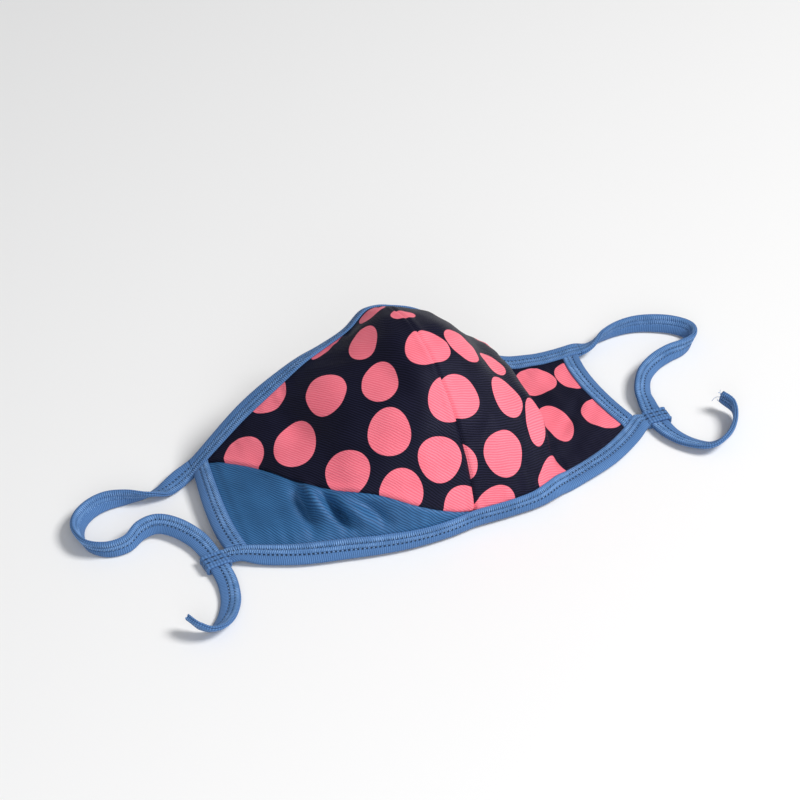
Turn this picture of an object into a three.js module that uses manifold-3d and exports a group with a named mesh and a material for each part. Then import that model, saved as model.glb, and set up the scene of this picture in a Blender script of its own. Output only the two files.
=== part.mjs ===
// A cloth face mask lying on a table with its outer side up, in millimetres, +Z up.
// Two cupped halves meet at a middle seam. Folded tape binds every edge, and the tape of the nose
// edge runs on at both corners as the ear straps, whose tails pass through a keeper at each lower corner.
import * as THREE from 'three';
import Module from 'manifold-3d';

// Driving sizes of the panels.
const HALF_WIDTH = 113; // from the middle seam to a lower corner, across
const DEPTH = 104; // from the chin edge to the nose edge at the seam, along the table
const CUP_HEIGHT = 77; // from the table to the top of the seam
const PANEL_WALL = 1.2; // thickness of the cloth panels

// Driving sizes of the tape, the straps and the keepers.
const TAPE_WIDTH = 9.5; // how far the folded tape reaches onto the panels
const TAPE_LEAF = 0.9; // thickness of one leaf of the folded tape
const STRAP_WIDTH = 9.2;
const STRAP_THICKNESS = 2.2;
const STRAP_REACH = 62; // how far an ear strap lies out from its corner
const KEEPER_LENGTH = 8.5; // along the strap that it holds
const KEEPER_WALL = 1.2;
const STRAP_CORNER = 0.77; // taken off a strap's corners
const KEEPER_CORNER = 1.1; // taken off a keeper's outer corners

// Clearance between pieces that touch in the real mask.
const FIT = 0.3;
const END_FIT = 0.5; // between the ends of a side tape and the tapes that they come up to

// How finely the cloth is divided.
const COLUMNS = 22; // between the seam and the side tape
const ROWS = 14; // between the chin tape and the nose tape
const ARC_STEPS = 24; // pieces that a section is measured in
const STRAP_STEPS = 3; // rings between two rows of a strap's table
const PROBE = 0.004; // step of a numerical slope, as a share
const EDGE_PROBE = 0.06; // share of the width that the pace at the side edge is measured over

const COLOURS = {
  print: 0x15151f,
  blue: 0x2f5f93,
  tape: 0x4a78b4,
};

// Cross sections of a half mask, from the seam (out 0) to its side edge (out 1). Each runs from the
// chin edge to the nose edge as one curve. X values are shares of HALF_WIDTH, Y of DEPTH, Z of
// CUP_HEIGHT. The rise leaves the chin edge, the fall comes down to the nose edge, and a bow draws
// the section towards the seam near that edge.
const SECTION_NAMES = [
  'out', 'chinX', 'chinY', 'chinZ', 'riseY', 'riseZ', 'fallY', 'fallZ', 'noseX', 'noseY', 'noseZ',
  'chinBow', 'noseBow',
];
const LEFT_SECTIONS = named(SECTION_NAMES, [
  [0.00, 0.000, 0.000, 0.013, 0.010, 0.570, -0.440, 0.625, 0.000, 1.000, 0.675, 0, 0],
  [0.10, 0.106, -0.010, 0.013, 0.000, 0.545, -0.440, 0.570, 0.070, 1.000, 0.680, 0, 0],
  [0.18, 0.186, -0.010, 0.013, 0.000, 0.520, -0.440, 0.520, 0.150, 0.970, 0.625, 0, 0],
  [0.30, 0.310, 0.000, 0.013, 0.020, 0.440, -0.385, 0.390, 0.275, 0.960, 0.560, 0, 0],
  [0.40, 0.416, 0.020, 0.013, 0.050, 0.350, -0.345, 0.235, 0.380, 0.940, 0.545, 0, 0],
  [0.52, 0.531, 0.050, 0.013, 0.060, 0.245, -0.310, 0.050, 0.505, 0.930, 0.480, 0, 0],
  [0.70, 0.715, 0.105, 0.013, 0.060, 0.155, -0.250, -0.065, 0.655, 0.925, 0.350, 0, 0],
  [0.86, 0.860, 0.180, 0.013, 0.060, 0.105, -0.190, -0.050, 0.780, 0.910, 0.205, -0.01, 0],
  [1.00, 0.930, 0.230, 0.033, 0.070, 0.040, -0.155, -0.040, 0.895, 0.885, 0.080, -0.11, -0.02],
]);
const RIGHT_SECTIONS = named(SECTION_NAMES, [
  [0.00, 0.000, 0.000, 0.013, 0.010, 0.570, -0.440, 0.625, 0.000, 1.000, 0.675, 0, 0],
  [0.18, 0.186, -0.010, 0.013, -0.005, 0.490, -0.425, 0.570, 0.165, 0.970, 0.580, 0, 0],
  [0.29, 0.295, -0.010, 0.014, 0.010, 0.320, -0.400, 0.560, 0.290, 0.943, 0.420, 0.01, -0.01],
  [0.37, 0.380, 0.000, 0.018, 0.050, 0.100, -0.390, 0.560, 0.377, 0.928, 0.290, 0.01, -0.04],
  [0.44, 0.450, 0.013, 0.020, 0.080, 0.000, -0.330, 0.330, 0.440, 0.914, 0.205, 0.01, -0.04],
  [0.53, 0.538, 0.033, 0.019, 0.060, 0.045, -0.210, 0.020, 0.520, 0.900, 0.140, 0.02, 0.02],
  [0.70, 0.708, 0.090, 0.015, 0.060, 0.095, -0.190, 0.010, 0.665, 0.875, 0.090, 0.04, 0.04],
  [0.86, 0.850, 0.170, 0.014, 0.060, 0.080, -0.175, 0.025, 0.795, 0.875, 0.065, 0.06, 0.08],
  [1.00, 0.930, 0.225, 0.031, 0.070, 0.040, -0.155, 0.010, 0.920, 0.875, 0.065, 0.06, 0.12],
]);

// Dents and folds pressed into a half. The place is given as its out and back shares, the turn is
// the angle of its length from the across direction, and lengths are shares of CUP_HEIGHT.
const FOLD_NAMES = ['out', 'back', 'turn', 'length', 'width', 'depth'];
const LEFT_FOLDS = named(FOLD_NAMES, [
  [0.63, 0.30, 80, 0.17, 0.060, -0.044],
  [0.555, 0.27, 75, 0.13, 0.045, 0.030],
  [0.48, 0.19, 55, 0.12, 0.050, -0.044],
  [0.34, 0.17, 75, 0.12, 0.060, -0.022],
  [0.53, 0.66, 65, 0.20, 0.085, -0.032],
  [0.20, 0.62, 75, 0.24, 0.085, -0.028],
]);
const RIGHT_FOLDS = named(FOLD_NAMES, [
  [0.46, 0.36, 88, 0.30, 0.060, -0.040],
  [0.35, 0.38, 95, 0.26, 0.070, 0.025],
  [0.30, 0.70, 80, 0.22, 0.100, -0.020],
]);

// Where the plain chin piece of the left half meets the printed piece: back share at each out share.
const CHIN_PIECE_NAMES = ['out', 'back'];
const CHIN_PIECE_EDGE = named(CHIN_PIECE_NAMES, [
  [-0.05, 0.040],
  [0.11, 0.090],
  [0.24, 0.150],
  [0.36, 0.225],
  [0.54, 0.340],
  [0.62, 0.425],
  [0.73, 0.585],
  [0.84, 0.735],
  [0.92, 0.850],
  [1.05, 0.930],
]);

// The way of an ear strap from its upper corner round the loop, through the keeper and to the tail's
// end. Out is a share of STRAP_REACH, down a share of the way from the upper corner to the keeper,
// lift a share of STRAP_WIDTH above lying on the table, and lean the turn of its width in degrees.
const STRAP_NAMES = ['out', 'down', 'lift', 'lean'];
const LEFT_STRAP = named(STRAP_NAMES, [
  [0.000, 0.00, 0.24, -14],
  [0.060, 0.01, 0.20, -14],
  [0.150, 0.05, 0.10, -12],
  [0.270, 0.09, 0.02, 15],
  [0.390, 0.11, 0.00, 50],
  [0.530, 0.07, 0.00, 85],
  [0.680, 0.04, 0.00, 112],
  [0.820, 0.07, 0.00, 124],
  [0.940, 0.16, 0.00, 128],
  [1.000, 0.29, 0.00, 122],
  [0.990, 0.45, 0.00, 108],
  [0.880, 0.55, 0.00, 92],
  [0.730, 0.56, 0.02, 78],
  [0.590, 0.48, 0.12, 60],
  [0.460, 0.48, 0.22, 50],
  [0.350, 0.58, 0.22, 40],
  [0.265, 0.74, 0.18, 20],
  [0.235, 0.91, 0.163, 0],
  [0.235, 1.00, 0.163, 0],
  [0.235, 1.09, 0.163, 0],
  [0.250, 1.24, 0.06, 4],
  [0.310, 1.42, 0.00, 10],
  [0.420, 1.58, 0.00, 22],
  [0.540, 1.66, 0.02, 42],
  [0.630, 1.63, 0.22, 58],
  [0.690, 1.545, 0.50, 66],
]);
const RIGHT_STRAP = named(STRAP_NAMES, [
  [0.000, 0.00, 0.24, 6],
  [0.045, 0.00, 0.18, 20],
  [0.110, -0.03, 0.06, 48],
  [0.200, -0.07, 0.00, 72],
  [0.350, -0.10, 0.00, 88],
  [0.510, -0.09, 0.00, 100],
  [0.670, -0.03, 0.00, 112],
  [0.810, 0.06, 0.00, 124],
  [0.890, 0.17, 0.00, 130],
  [0.850, 0.30, 0.00, 108],
  [0.750, 0.35, 0.00, 84],
  [0.600, 0.37, 0.00, 68],
  [0.450, 0.42, 0.00, 60],
  [0.310, 0.52, 0.02, 46],
  [0.215, 0.68, 0.10, 28],
  [0.190, 0.80, 0.16, 12],
  [0.180, 0.91, 0.163, 0],
  [0.180, 1.00, 0.163, 0],
  [0.180, 1.09, 0.163, 0],
  [0.210, 1.22, 0.06, 10],
  [0.285, 1.36, 0.00, 18],
  [0.410, 1.48, 0.00, 32],
  [0.555, 1.47, 0.00, 62],
  [0.690, 1.36, 0.03, 85],
  [0.755, 1.22, 0.20, 98],
  [0.700, 1.10, 0.45, 104],
]);

function named(names, rows) {
  return rows.map((row) => Object.fromEntries(names.map((name, i) => [name, row[i]])));
}

// Values of a table between its rows, as smooth curves through them.
function valuesAt(rows, key, place) {
  const last = rows.length - 1;
  const at = THREE.MathUtils.clamp(place, rows[0][key], rows[last][key]);
  let k = 0;
  while (k < last - 1 && at >= rows[k + 1][key]) k += 1;
  const span = (i) => rows[i + 1][key] - rows[i][key];
  const rise = (i, name) => (rows[i + 1][name] - rows[i][name]) / span(i);
  const slope = (i, name) => {
    if (i === 0) return rise(0, name);
    if (i === last) return rise(last - 1, name);
    const before = span(i - 1);
    const after = span(i);
    return (rise(i, name) * before + rise(i - 1, name) * after) / (before + after);
  };
  const h = span(k);
  const t = (at - rows[k][key]) / h;
  const values = {};
  for (const name of Object.keys(rows[0])) {
    values[name] =
      (2 * t ** 3 - 3 * t ** 2 + 1) * rows[k][name] +
      (t ** 3 - 2 * t ** 2 + t) * h * slope(k, name) +
      (-2 * t ** 3 + 3 * t ** 2) * rows[k + 1][name] +
      (t ** 3 - t ** 2) * h * slope(k + 1, name);
  }
  return values;
}

// One half of the mask as a surface: the middle of its cloth, with places given as an out share from
// the seam and a back share along the section from the chin edge.
class Half {
  constructor(side, sections, folds) {
    this.side = side;
    this.sections = sections;
    this.folds = folds;
    this.measured = new Map();
  }

  section(out) {
    const key = out.toFixed(6);
    if (!this.measured.has(key)) this.measured.set(key, this.measure(out));
    return this.measured.get(key);
  }

  measure(out) {
    const row = valuesAt(this.sections, 'out', out);
    const chin = new THREE.Vector3(row.chinX * HALF_WIDTH, row.chinY * DEPTH, row.chinZ * CUP_HEIGHT);
    const nose = new THREE.Vector3(row.noseX * HALF_WIDTH, row.noseY * DEPTH, row.noseZ * CUP_HEIGHT);
    const rise = new THREE.Vector3(0, row.riseY * DEPTH, row.riseZ * CUP_HEIGHT).add(chin);
    const fall = new THREE.Vector3(0, row.fallY * DEPTH, row.fallZ * CUP_HEIGHT).add(nose);
    rise.x = (2 * chin.x + nose.x) / 3 - row.chinBow * HALF_WIDTH;
    fall.x = (chin.x + 2 * nose.x) / 3 - row.noseBow * HALF_WIDTH;
    const curve = new THREE.CubicBezierCurve3(chin, rise, fall, nose);
    const points = curve.getPoints(ARC_STEPS);
    const lengths = [0];
    for (let i = 1; i < points.length; i += 1) {
      lengths.push(lengths[i - 1] + points[i].distanceTo(points[i - 1]));
    }
    return { curve, lengths, length: lengths[ARC_STEPS] };
  }

  plain(out, back) {
    const { curve, lengths, length } = this.section(out);
    const goal = THREE.MathUtils.clamp(back, 0, 1) * length;
    let k = 1;
    while (k < ARC_STEPS && lengths[k] < goal) k += 1;
    const part = (goal - lengths[k - 1]) / (lengths[k] - lengths[k - 1]);
    const point = curve.getPoint((k - 1 + part) / ARC_STEPS);
    point.x *= this.side;
    return point;
  }

  slopes(place, out, back) {
    const across = place(Math.min(out + PROBE, 1), back).sub(place(Math.max(out - PROBE, 0), back));
    const along = place(out, Math.min(back + PROBE, 1)).sub(place(out, Math.max(back - PROBE, 0)));
    const normal = across.clone().cross(along).multiplyScalar(this.side);
    if (out === 0) normal.x = 0;
    return { across, along, normal: normal.normalize() };
  }

  pressed(out, back) {
    let depth = 0;
    for (const fold of this.folds) {
      const turn = THREE.MathUtils.degToRad(fold.turn);
      const dx = (out - fold.out) * HALF_WIDTH;
      const dy = (back - fold.back) * this.section(out).length;
      const along = dx * Math.cos(turn) + dy * Math.sin(turn);
      const beside = dy * Math.cos(turn) - dx * Math.sin(turn);
      const far = (along / (fold.length * CUP_HEIGHT)) ** 2 + (beside / (fold.width * CUP_HEIGHT)) ** 2;
      depth += fold.depth * CUP_HEIGHT * Math.exp(-far);
    }
    const length = this.section(out).length;
    const edge = Math.min(back, 1 - back) * length - TAPE_WIDTH / 2;
    return depth * THREE.MathUtils.smoothstep(edge, 0, TAPE_WIDTH);
  }

  point(out, back) {
    const point = this.plain(out, back);
    const depth = this.pressed(out, back);
    if (Math.abs(depth) < 0.01) return point;
    const { normal } = this.slopes((o, b) => this.plain(o, b), out, back);
    return point.addScaledVector(normal, depth);
  }

  normal(out, back) {
    return this.slopes((o, b) => this.point(o, b), out, back).normal;
  }

  // Millimetres across per unit of the out share, at the side edge.
  sidePace(back) {
    return this.plain(1, back).distanceTo(this.plain(1 - EDGE_PROBE, back)) / EDGE_PROBE;
  }
}

// The lines that the cloth is divided by. A line in the tape keeps a true distance from the edge, so
// the tape and the cloth inside it share their lines and keep the same clearance everywhere.
const WEB = TAPE_LEAF + FIT; // from the fold of the tape to the edge of the cloth inside it
const TAPE_LINES = [0, WEB, TAPE_WIDTH / 2, TAPE_WIDTH];

function acrossLines() {
  const lines = [];
  for (let i = 0; i < COLUMNS; i += 1) lines.push({ share: i / COLUMNS });
  for (const inset of [...TAPE_LINES].reverse()) lines.push({ inset });
  return lines;
}

function alongLines() {
  const lines = TAPE_LINES.map((chin) => ({ chin }));
  for (let j = 1; j < ROWS; j += 1) lines.push({ share: j / ROWS });
  for (const nose of [...TAPE_LINES].reverse()) lines.push({ nose });
  return lines;
}

function backShare(line, length) {
  if ('chin' in line) return line.chin / length;
  if ('nose' in line) return 1 - line.nose / length;
  return THREE.MathUtils.lerp(TAPE_WIDTH / length, 1 - TAPE_WIDTH / length, line.share);
}

// Points and normals of a half on every crossing of its lines.
function gridOf(half) {
  return acrossLines().map((across) =>
    alongLines().map((along) => {
      const pace = half.sidePace(backShare(along, half.section(1).length));
      const out = 'inset' in across ? 1 - across.inset / pace : across.share * (1 - TAPE_WIDTH / pace);
      const back = backShare(along, half.section(out).length);
      return { out, back, point: half.point(out, back), normal: half.normal(out, back) };
    }),
  );
}

// A closed mesh from points and triangles, wound so that its faces look outwards.
function closedGeometry(points, triangles) {
  let volume = 0;
  for (const [a, b, c] of triangles) {
    volume += points[a].dot(new THREE.Vector3().crossVectors(points[b], points[c]));
  }
  const wound = volume < 0 ? triangles.map(([a, b, c]) => [a, c, b]) : triangles;
  const geometry = new THREE.BufferGeometry().setFromPoints(points);
  geometry.setIndex(wound.flat());
  geometry.computeVertexNormals();
  return geometry;
}

// Two triangles over four points, parted along the shorter diagonal.
function quadOver(points, a, b, c, d) {
  const first = points[a].distanceTo(points[c]) <= points[b].distanceTo(points[d]);
  return first ? [[a, b, c], [a, c, d]] : [[a, b, d], [b, c, d]];
}

// Cloth of the given wall on both sides of a grid of points and normals.
function slab(grid, wall) {
  const rows = grid[0].length;
  const points = [];
  for (const lift of [wall / 2, -wall / 2]) {
    for (const line of grid) {
      for (const { point, normal } of line) points.push(point.clone().addScaledVector(normal, lift));
    }
  }
  const under = grid.length * rows;
  const at = (i, j) => i * rows + j;
  const triangles = [];
  for (let i = 0; i + 1 < grid.length; i += 1) {
    for (let j = 0; j + 1 < rows; j += 1) {
      const [a, b, c, d] = [at(i, j), at(i + 1, j), at(i + 1, j + 1), at(i, j + 1)];
      triangles.push(...quadOver(points, a, b, c, d));
      triangles.push(...quadOver(points, a + under, d + under, c + under, b + under));
    }
  }
  const rim = [];
  for (let i = 0; i < grid.length - 1; i += 1) rim.push(at(i, 0));
  for (let j = 0; j < rows - 1; j += 1) rim.push(at(grid.length - 1, j));
  for (let i = grid.length - 1; i > 0; i -= 1) rim.push(at(i, rows - 1));
  for (let j = rows - 1; j > 0; j -= 1) rim.push(at(0, j));
  rim.forEach((a, k) => {
    const b = rim[(k + 1) % rim.length];
    triangles.push([a, a + under, b], [b, a + under, b + under]);
  });
  return closedGeometry(points, triangles);
}

// A solid through a row of rings that all have the outline's points.
function loft(rings, outline) {
  const count = outline.length;
  const points = rings.flat();
  const triangles = [];
  for (let s = 0; s + 1 < rings.length; s += 1) {
    for (let k = 0; k < count; k += 1) {
      const next = (k + 1) % count;
      const [low, high] = [s * count, (s + 1) * count];
      triangles.push(...quadOver(points, low + k, low + next, high + next, high + k));
    }
  }
  const end = (rings.length - 1) * count;
  const clockwise = THREE.ShapeUtils.isClockWise(outline);
  for (const [a, b, c] of THREE.ShapeUtils.triangulateShape(outline, [])) {
    const cap = clockwise ? [a, c, b] : [a, b, c];
    triangles.push([cap[0], cap[2], cap[1]], cap.map((k) => k + end));
  }
  return closedGeometry(points, triangles);
}

// Outline of the folded tape. In is the distance from its folded edge onto the cloth, and off the
// distance from the middle of the cloth.
const CLOTH_SIDE = PANEL_WALL / 2 + FIT;
const TAPE_SIDE = CLOTH_SIDE + TAPE_LEAF;
const FOLD_REACH = WEB * 0.6; // how far the rounding of the folded edge reaches in
const FOLD_FLAT = TAPE_SIDE * 0.5; // half the height of the folded edge's flat
const TAPE_OUTLINE = [
  { in: TAPE_WIDTH, off: TAPE_SIDE },
  { in: TAPE_WIDTH / 2, off: TAPE_SIDE },
  { in: FOLD_REACH, off: TAPE_SIDE },
  { in: 0, off: FOLD_FLAT },
  { in: 0, off: -FOLD_FLAT },
  { in: FOLD_REACH, off: -TAPE_SIDE },
  { in: TAPE_WIDTH / 2, off: -TAPE_SIDE },
  { in: TAPE_WIDTH, off: -TAPE_SIDE },
  { in: TAPE_WIDTH, off: -CLOTH_SIDE },
  { in: TAPE_WIDTH / 2, off: -CLOTH_SIDE },
  { in: TAPE_LEAF, off: -CLOTH_SIDE },
  { in: TAPE_LEAF, off: CLOTH_SIDE },
  { in: TAPE_WIDTH / 2, off: CLOTH_SIDE },
  { in: TAPE_WIDTH, off: CLOTH_SIDE },
];

// A point of the tape on one station, whose four crossings lie at TAPE_LINES from the edge.
function tapePoint(station, { in: inset, off }) {
  let k = 0;
  while (k < TAPE_LINES.length - 2 && inset > TAPE_LINES[k + 1]) k += 1;
  const part = (inset - TAPE_LINES[k]) / (TAPE_LINES[k + 1] - TAPE_LINES[k]);
  const point = station[k].point.clone().lerp(station[k + 1].point, part);
  const normal = station[k].normal.clone().lerp(station[k + 1].normal, part).normalize();
  return point.addScaledVector(normal, off);
}

function tape(stations) {
  const rings = stations.map((station) => TAPE_OUTLINE.map((place) => tapePoint(station, place)));
  return loft(rings, TAPE_OUTLINE.map((place) => new THREE.Vector2(place.in, place.off)));
}

// Moves the crossings of a station towards those of the next one by a length.
function trimmed(station, next, length) {
  return station.map(({ point, normal }, k) => {
    const way = next[k].point.clone().sub(point).setLength(length);
    return { point: point.clone().add(way), normal };
  });
}

const LINE_COUNT = TAPE_LINES.length;
const chinStation = (line) => line.slice(0, LINE_COUNT);
const noseStation = (line) => line.slice(-LINE_COUNT).reverse();
const sideStation = (grid, j) => grid.slice(-LINE_COUNT).map((line) => line[j]).reverse();

function bothHalves(left, right, stationOf) {
  return [...left.slice(1).reverse().map(stationOf), ...right.map(stationOf)];
}

function sideTape(grid) {
  const stations = [];
  const first = LINE_COUNT - 1;
  const last = grid[0].length - LINE_COUNT;
  for (let j = first; j <= last; j += 1) stations.push(sideStation(grid, j));
  const low = trimmed(stations[0], stations[1], END_FIT);
  const high = trimmed(stations.at(-1), stations.at(-2), END_FIT);
  return tape([low, ...stations.slice(1, -1), high]);
}

// The cloth of a half, from the seam to the edges inside the tape, kept clear of the other half.
function clothGrid(half, grid) {
  return grid.slice(0, -1).map((line, i) =>
    line.slice(1, -1).map(({ point, normal }) => {
      const apart = new THREE.Vector3(i === 0 ? (half.side * FIT) / 2 : 0, 0, 0);
      return { point: point.clone().add(apart), normal };
    }),
  );
}

// A thin curtain along the edge of the plain chin piece, which parts the left cloth in two.
function curtain(half) {
  const outline = [[-1, -1], [1, -1], [1, 1], [-1, 1]].map(([x, y]) => new THREE.Vector2(x, y));
  const rings = [];
  const steps = COLUMNS;
  const first = CHIN_PIECE_EDGE[0].out;
  const last = CHIN_PIECE_EDGE.at(-1).out;
  for (let i = 0; i <= steps; i += 1) {
    const out = THREE.MathUtils.lerp(first, last, i / steps);
    const { back } = valuesAt(CHIN_PIECE_EDGE, 'out', out);
    const inside = THREE.MathUtils.clamp(out, 0, 1);
    const { across, along, normal } = half.slopes((o, b) => half.point(o, b), inside, back);
    const point = half.point(inside, back);
    point.addScaledVector(across.normalize(), (out - inside) * HALF_WIDTH);
    rings.push(outline.map(({ x, y }) => point.clone()
      .addScaledVector(along.clone().normalize(), (x * FIT) / 2)
      .addScaledVector(normal, y * 2 * PANEL_WALL)));
  }
  return loft(rings, outline);
}

const wasm = await Module();
wasm.setup();

function toSolid(geometry) {
  const vertProperties = new Float32Array(geometry.getAttribute('position').array);
  const triVerts = new Uint32Array(geometry.getIndex().array);
  return new wasm.Manifold(new wasm.Mesh({ numProp: 3, vertProperties, triVerts }));
}

function toGeometry(solid) {
  const { vertProperties, triVerts, numProp } = solid.getMesh();
  const positions = [];
  for (let i = 0; i < vertProperties.length; i += numProp) {
    positions.push(vertProperties[i], vertProperties[i + 1], vertProperties[i + 2]);
  }
  const geometry = new THREE.BufferGeometry();
  geometry.setAttribute('position', new THREE.Float32BufferAttribute(positions, 3));
  geometry.setIndex(Array.from(triVerts));
  geometry.computeVertexNormals();
  return geometry;
}

// The two solids of the left cloth, the larger printed one first.
function partedCloth(half, grid) {
  const whole = toSolid(slab(clothGrid(half, grid), PANEL_WALL));
  const parts = whole.subtract(toSolid(curtain(half))).decompose();
  return parts.sort((a, b) => b.volume() - a.volume()).map(toGeometry);
}

// Places on a strap's way, with the direction of its width and of its thickness.
function strapPlaces(side, table, start, keeper) {
  const places = table.map(({ out, down, lift, lean }) => {
    const turn = THREE.MathUtils.degToRad(lean);
    const rest = (STRAP_WIDTH * Math.abs(Math.sin(turn)) + STRAP_THICKNESS * Math.abs(Math.cos(turn))) / 2;
    return new THREE.Vector3(
      THREE.MathUtils.lerp(start.x, keeper.x, down) + side * (out - keeper.out * down) * STRAP_REACH,
      THREE.MathUtils.lerp(start.y, keeper.y, down),
      rest + lift * STRAP_WIDTH,
    );
  });
  const way = new THREE.CatmullRomCurve3(places, false, 'catmullrom');
  const leans = new THREE.CatmullRomCurve3(
    table.map(({ lean }) => new THREE.Vector3(lean, 0, 0)), false, 'catmullrom');
  return (t) => {
    const tangent = way.getTangent(t);
    const inward = new THREE.Vector3(0, 0, -side).cross(tangent).normalize();
    const upward = new THREE.Vector3().crossVectors(inward, tangent).multiplyScalar(side);
    if (upward.z < 0) upward.negate();
    const lean = THREE.MathUtils.degToRad(leans.getPoint(t).x);
    const width = inward.clone().multiplyScalar(Math.cos(lean)).addScaledVector(upward, Math.sin(lean));
    const thickness = upward.multiplyScalar(Math.cos(lean)).addScaledVector(inward, -Math.sin(lean));
    return { point: way.getPoint(t), width, thickness };
  };
}

// A flat band's outline with its corners taken off.
function bandOutline(width, thickness, corner) {
  const [x, y] = [width / 2, thickness / 2];
  return [
    [x, y - corner], [x - corner, y], [corner - x, y], [-x, y - corner],
    [-x, corner - y], [corner - x, -y], [x - corner, -y], [x, corner - y],
  ].map(([u, v]) => new THREE.Vector2(u, v));
}

function ringAt(place, outline) {
  return outline.map(({ x, y }) => place.point.clone()
    .addScaledVector(place.width, x)
    .addScaledVector(place.thickness, y));
}

function strap(placeAt, table) {
  const outline = bandOutline(STRAP_WIDTH, STRAP_THICKNESS, STRAP_CORNER);
  const steps = (table.length - 1) * STRAP_STEPS;
  const rings = [];
  for (let i = 0; i <= steps; i += 1) rings.push(ringAt(placeAt(i / steps), outline));
  return loft(rings, outline);
}

// A straight loop of tape round the strap, open at both ends, at the middle of the table's keeper rows.
function keeper(placeAt, table) {
  const middle = placeAt(table.findIndex(({ down }) => down === 1) / (table.length - 1));
  const along = new THREE.Vector3().crossVectors(middle.width, middle.thickness).normalize();
  const inner = bandOutline(STRAP_WIDTH + 2 * FIT, STRAP_THICKNESS + 2 * FIT, STRAP_CORNER);
  const wall = FIT + KEEPER_WALL;
  const outer = bandOutline(STRAP_WIDTH + 2 * wall, STRAP_THICKNESS + 2 * wall, KEEPER_CORNER);
  const count = inner.length;
  const points = [-0.5, 0.5].flatMap((share) => {
    const place = { ...middle, point: middle.point.clone().addScaledVector(along, share * KEEPER_LENGTH) };
    return [...ringAt(place, outer), ...ringAt(place, inner)];
  });
  const triangles = [];
  const quad = (a, b, c, d) => triangles.push([a, b, c], [a, c, d]);
  const far = 2 * count;
  for (let k = 0; k < count; k += 1) {
    const next = (k + 1) % count;
    quad(k, next, far + next, far + k);
    quad(count + next, count + k, far + count + k, far + count + next);
    quad(next, k, count + k, count + next);
    quad(far + k, far + next, far + count + next, far + count + k);
  }
  return closedGeometry(points, triangles);
}

function piece(name, geometry, colour) {
  const material = new THREE.MeshStandardMaterial({ color: colour, roughness: 0.9, metalness: 0 });
  const mesh = new THREE.Mesh(geometry, material);
  mesh.name = name;
  return mesh;
}

// The ear strap of a half, which starts at the end of the nose tape, and its keeper beside the end of
// the chin tape.
function earLoop(half, grid, table, sideName) {
  const high = noseStation(grid.at(-1));
  const low = chinStation(grid.at(-1));
  const farthest = (station) => Math.max(...station.map(({ point }) => half.side * point.x));
  const start = new THREE.Vector3(half.side * (farthest(high) + 2 * FIT), high[2].point.y, 0);
  const clear = farthest(low) + 2 * FIT + KEEPER_WALL + STRAP_WIDTH / 2;
  const held = new THREE.Vector3(half.side * clear, low[1].point.y + KEEPER_LENGTH / 2 - WEB, 0);
  held.out = table.find(({ down }) => down === 1).out;
  const placeAt = strapPlaces(half.side, table, start, held);
  return [
    piece(`ear_strap_${sideName}`, strap(placeAt, table), COLOURS.tape),
    piece(`keeper_${sideName}`, keeper(placeAt, table), COLOURS.tape),
  ];
}

function buildMask() {
  const left = new Half(-1, LEFT_SECTIONS, LEFT_FOLDS);
  const right = new Half(1, RIGHT_SECTIONS, RIGHT_FOLDS);
  const leftGrid = gridOf(left);
  const rightGrid = gridOf(right);
  const [printed, plain] = partedCloth(left, leftGrid);
  const mask = new THREE.Group();
  mask.add(
    piece('panel_left_print', printed, COLOURS.print),
    piece('panel_left_chin', plain, COLOURS.blue),
    piece('panel_right_print', slab(clothGrid(right, rightGrid), PANEL_WALL), COLOURS.print),
    piece('binding_nose', tape(bothHalves(leftGrid, rightGrid, noseStation)), COLOURS.tape),
    piece('binding_chin', tape(bothHalves(leftGrid, rightGrid, chinStation)), COLOURS.tape),
    piece('binding_side_left', sideTape(leftGrid), COLOURS.tape),
    piece('binding_side_right', sideTape(rightGrid), COLOURS.tape),
    ...earLoop(left, leftGrid, LEFT_STRAP, 'left'),
    ...earLoop(right, rightGrid, RIGHT_STRAP, 'right'),
  );
  return mask;
}

// The mask stands with its lowest point on the table and the middle of its outline at the origin.
const mask = buildMask();
const box = new THREE.Box3().setFromObject(mask);
mask.position.set(-(box.min.x + box.max.x) / 2, -(box.min.y + box.max.y) / 2, -box.min.z);

export default mask;
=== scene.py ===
"""A cloth face mask that lies on a pale floor with its outer side up.

Two cupped halves of dotted stretch cloth meet at a middle seam, the left one with a plain piece at
the chin. Folded tape with two rows of coverstitch binds every edge. The tape of the nose edge runs
on at both corners as the ear straps, whose tails pass through a keeper at each lower corner.
"""

import logging
import math
from dataclasses import dataclass, field
from enum import Enum

import bpy
import numpy as np
from mathutils import Matrix, Vector


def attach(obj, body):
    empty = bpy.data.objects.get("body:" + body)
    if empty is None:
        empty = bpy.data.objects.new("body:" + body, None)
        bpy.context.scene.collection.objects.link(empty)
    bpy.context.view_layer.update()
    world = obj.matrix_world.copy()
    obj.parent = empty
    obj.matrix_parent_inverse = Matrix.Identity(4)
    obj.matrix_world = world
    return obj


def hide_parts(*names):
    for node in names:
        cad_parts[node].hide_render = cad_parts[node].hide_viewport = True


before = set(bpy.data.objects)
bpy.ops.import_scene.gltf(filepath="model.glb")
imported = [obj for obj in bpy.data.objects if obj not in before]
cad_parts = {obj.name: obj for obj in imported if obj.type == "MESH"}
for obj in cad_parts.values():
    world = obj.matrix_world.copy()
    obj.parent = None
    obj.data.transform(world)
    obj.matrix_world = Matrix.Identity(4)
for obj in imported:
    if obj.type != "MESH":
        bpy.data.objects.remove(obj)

LOG = logging.getLogger("face_mask")
MM = 0.001

# Where the chin end of the middle seam lies on the table, in millimetres of the whole object's frame.
SEAM_FOOT = np.array([2.848, -44.848, 0.223])


class Side(Enum):
    """A half of the mask, as the viewer sees it."""

    LEFT = -1
    RIGHT = 1


class Edge(Enum):
    """An edge of a half that tape binds."""

    CHIN = "chin"
    NOSE = "nose"
    SIDE = "side"


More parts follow.
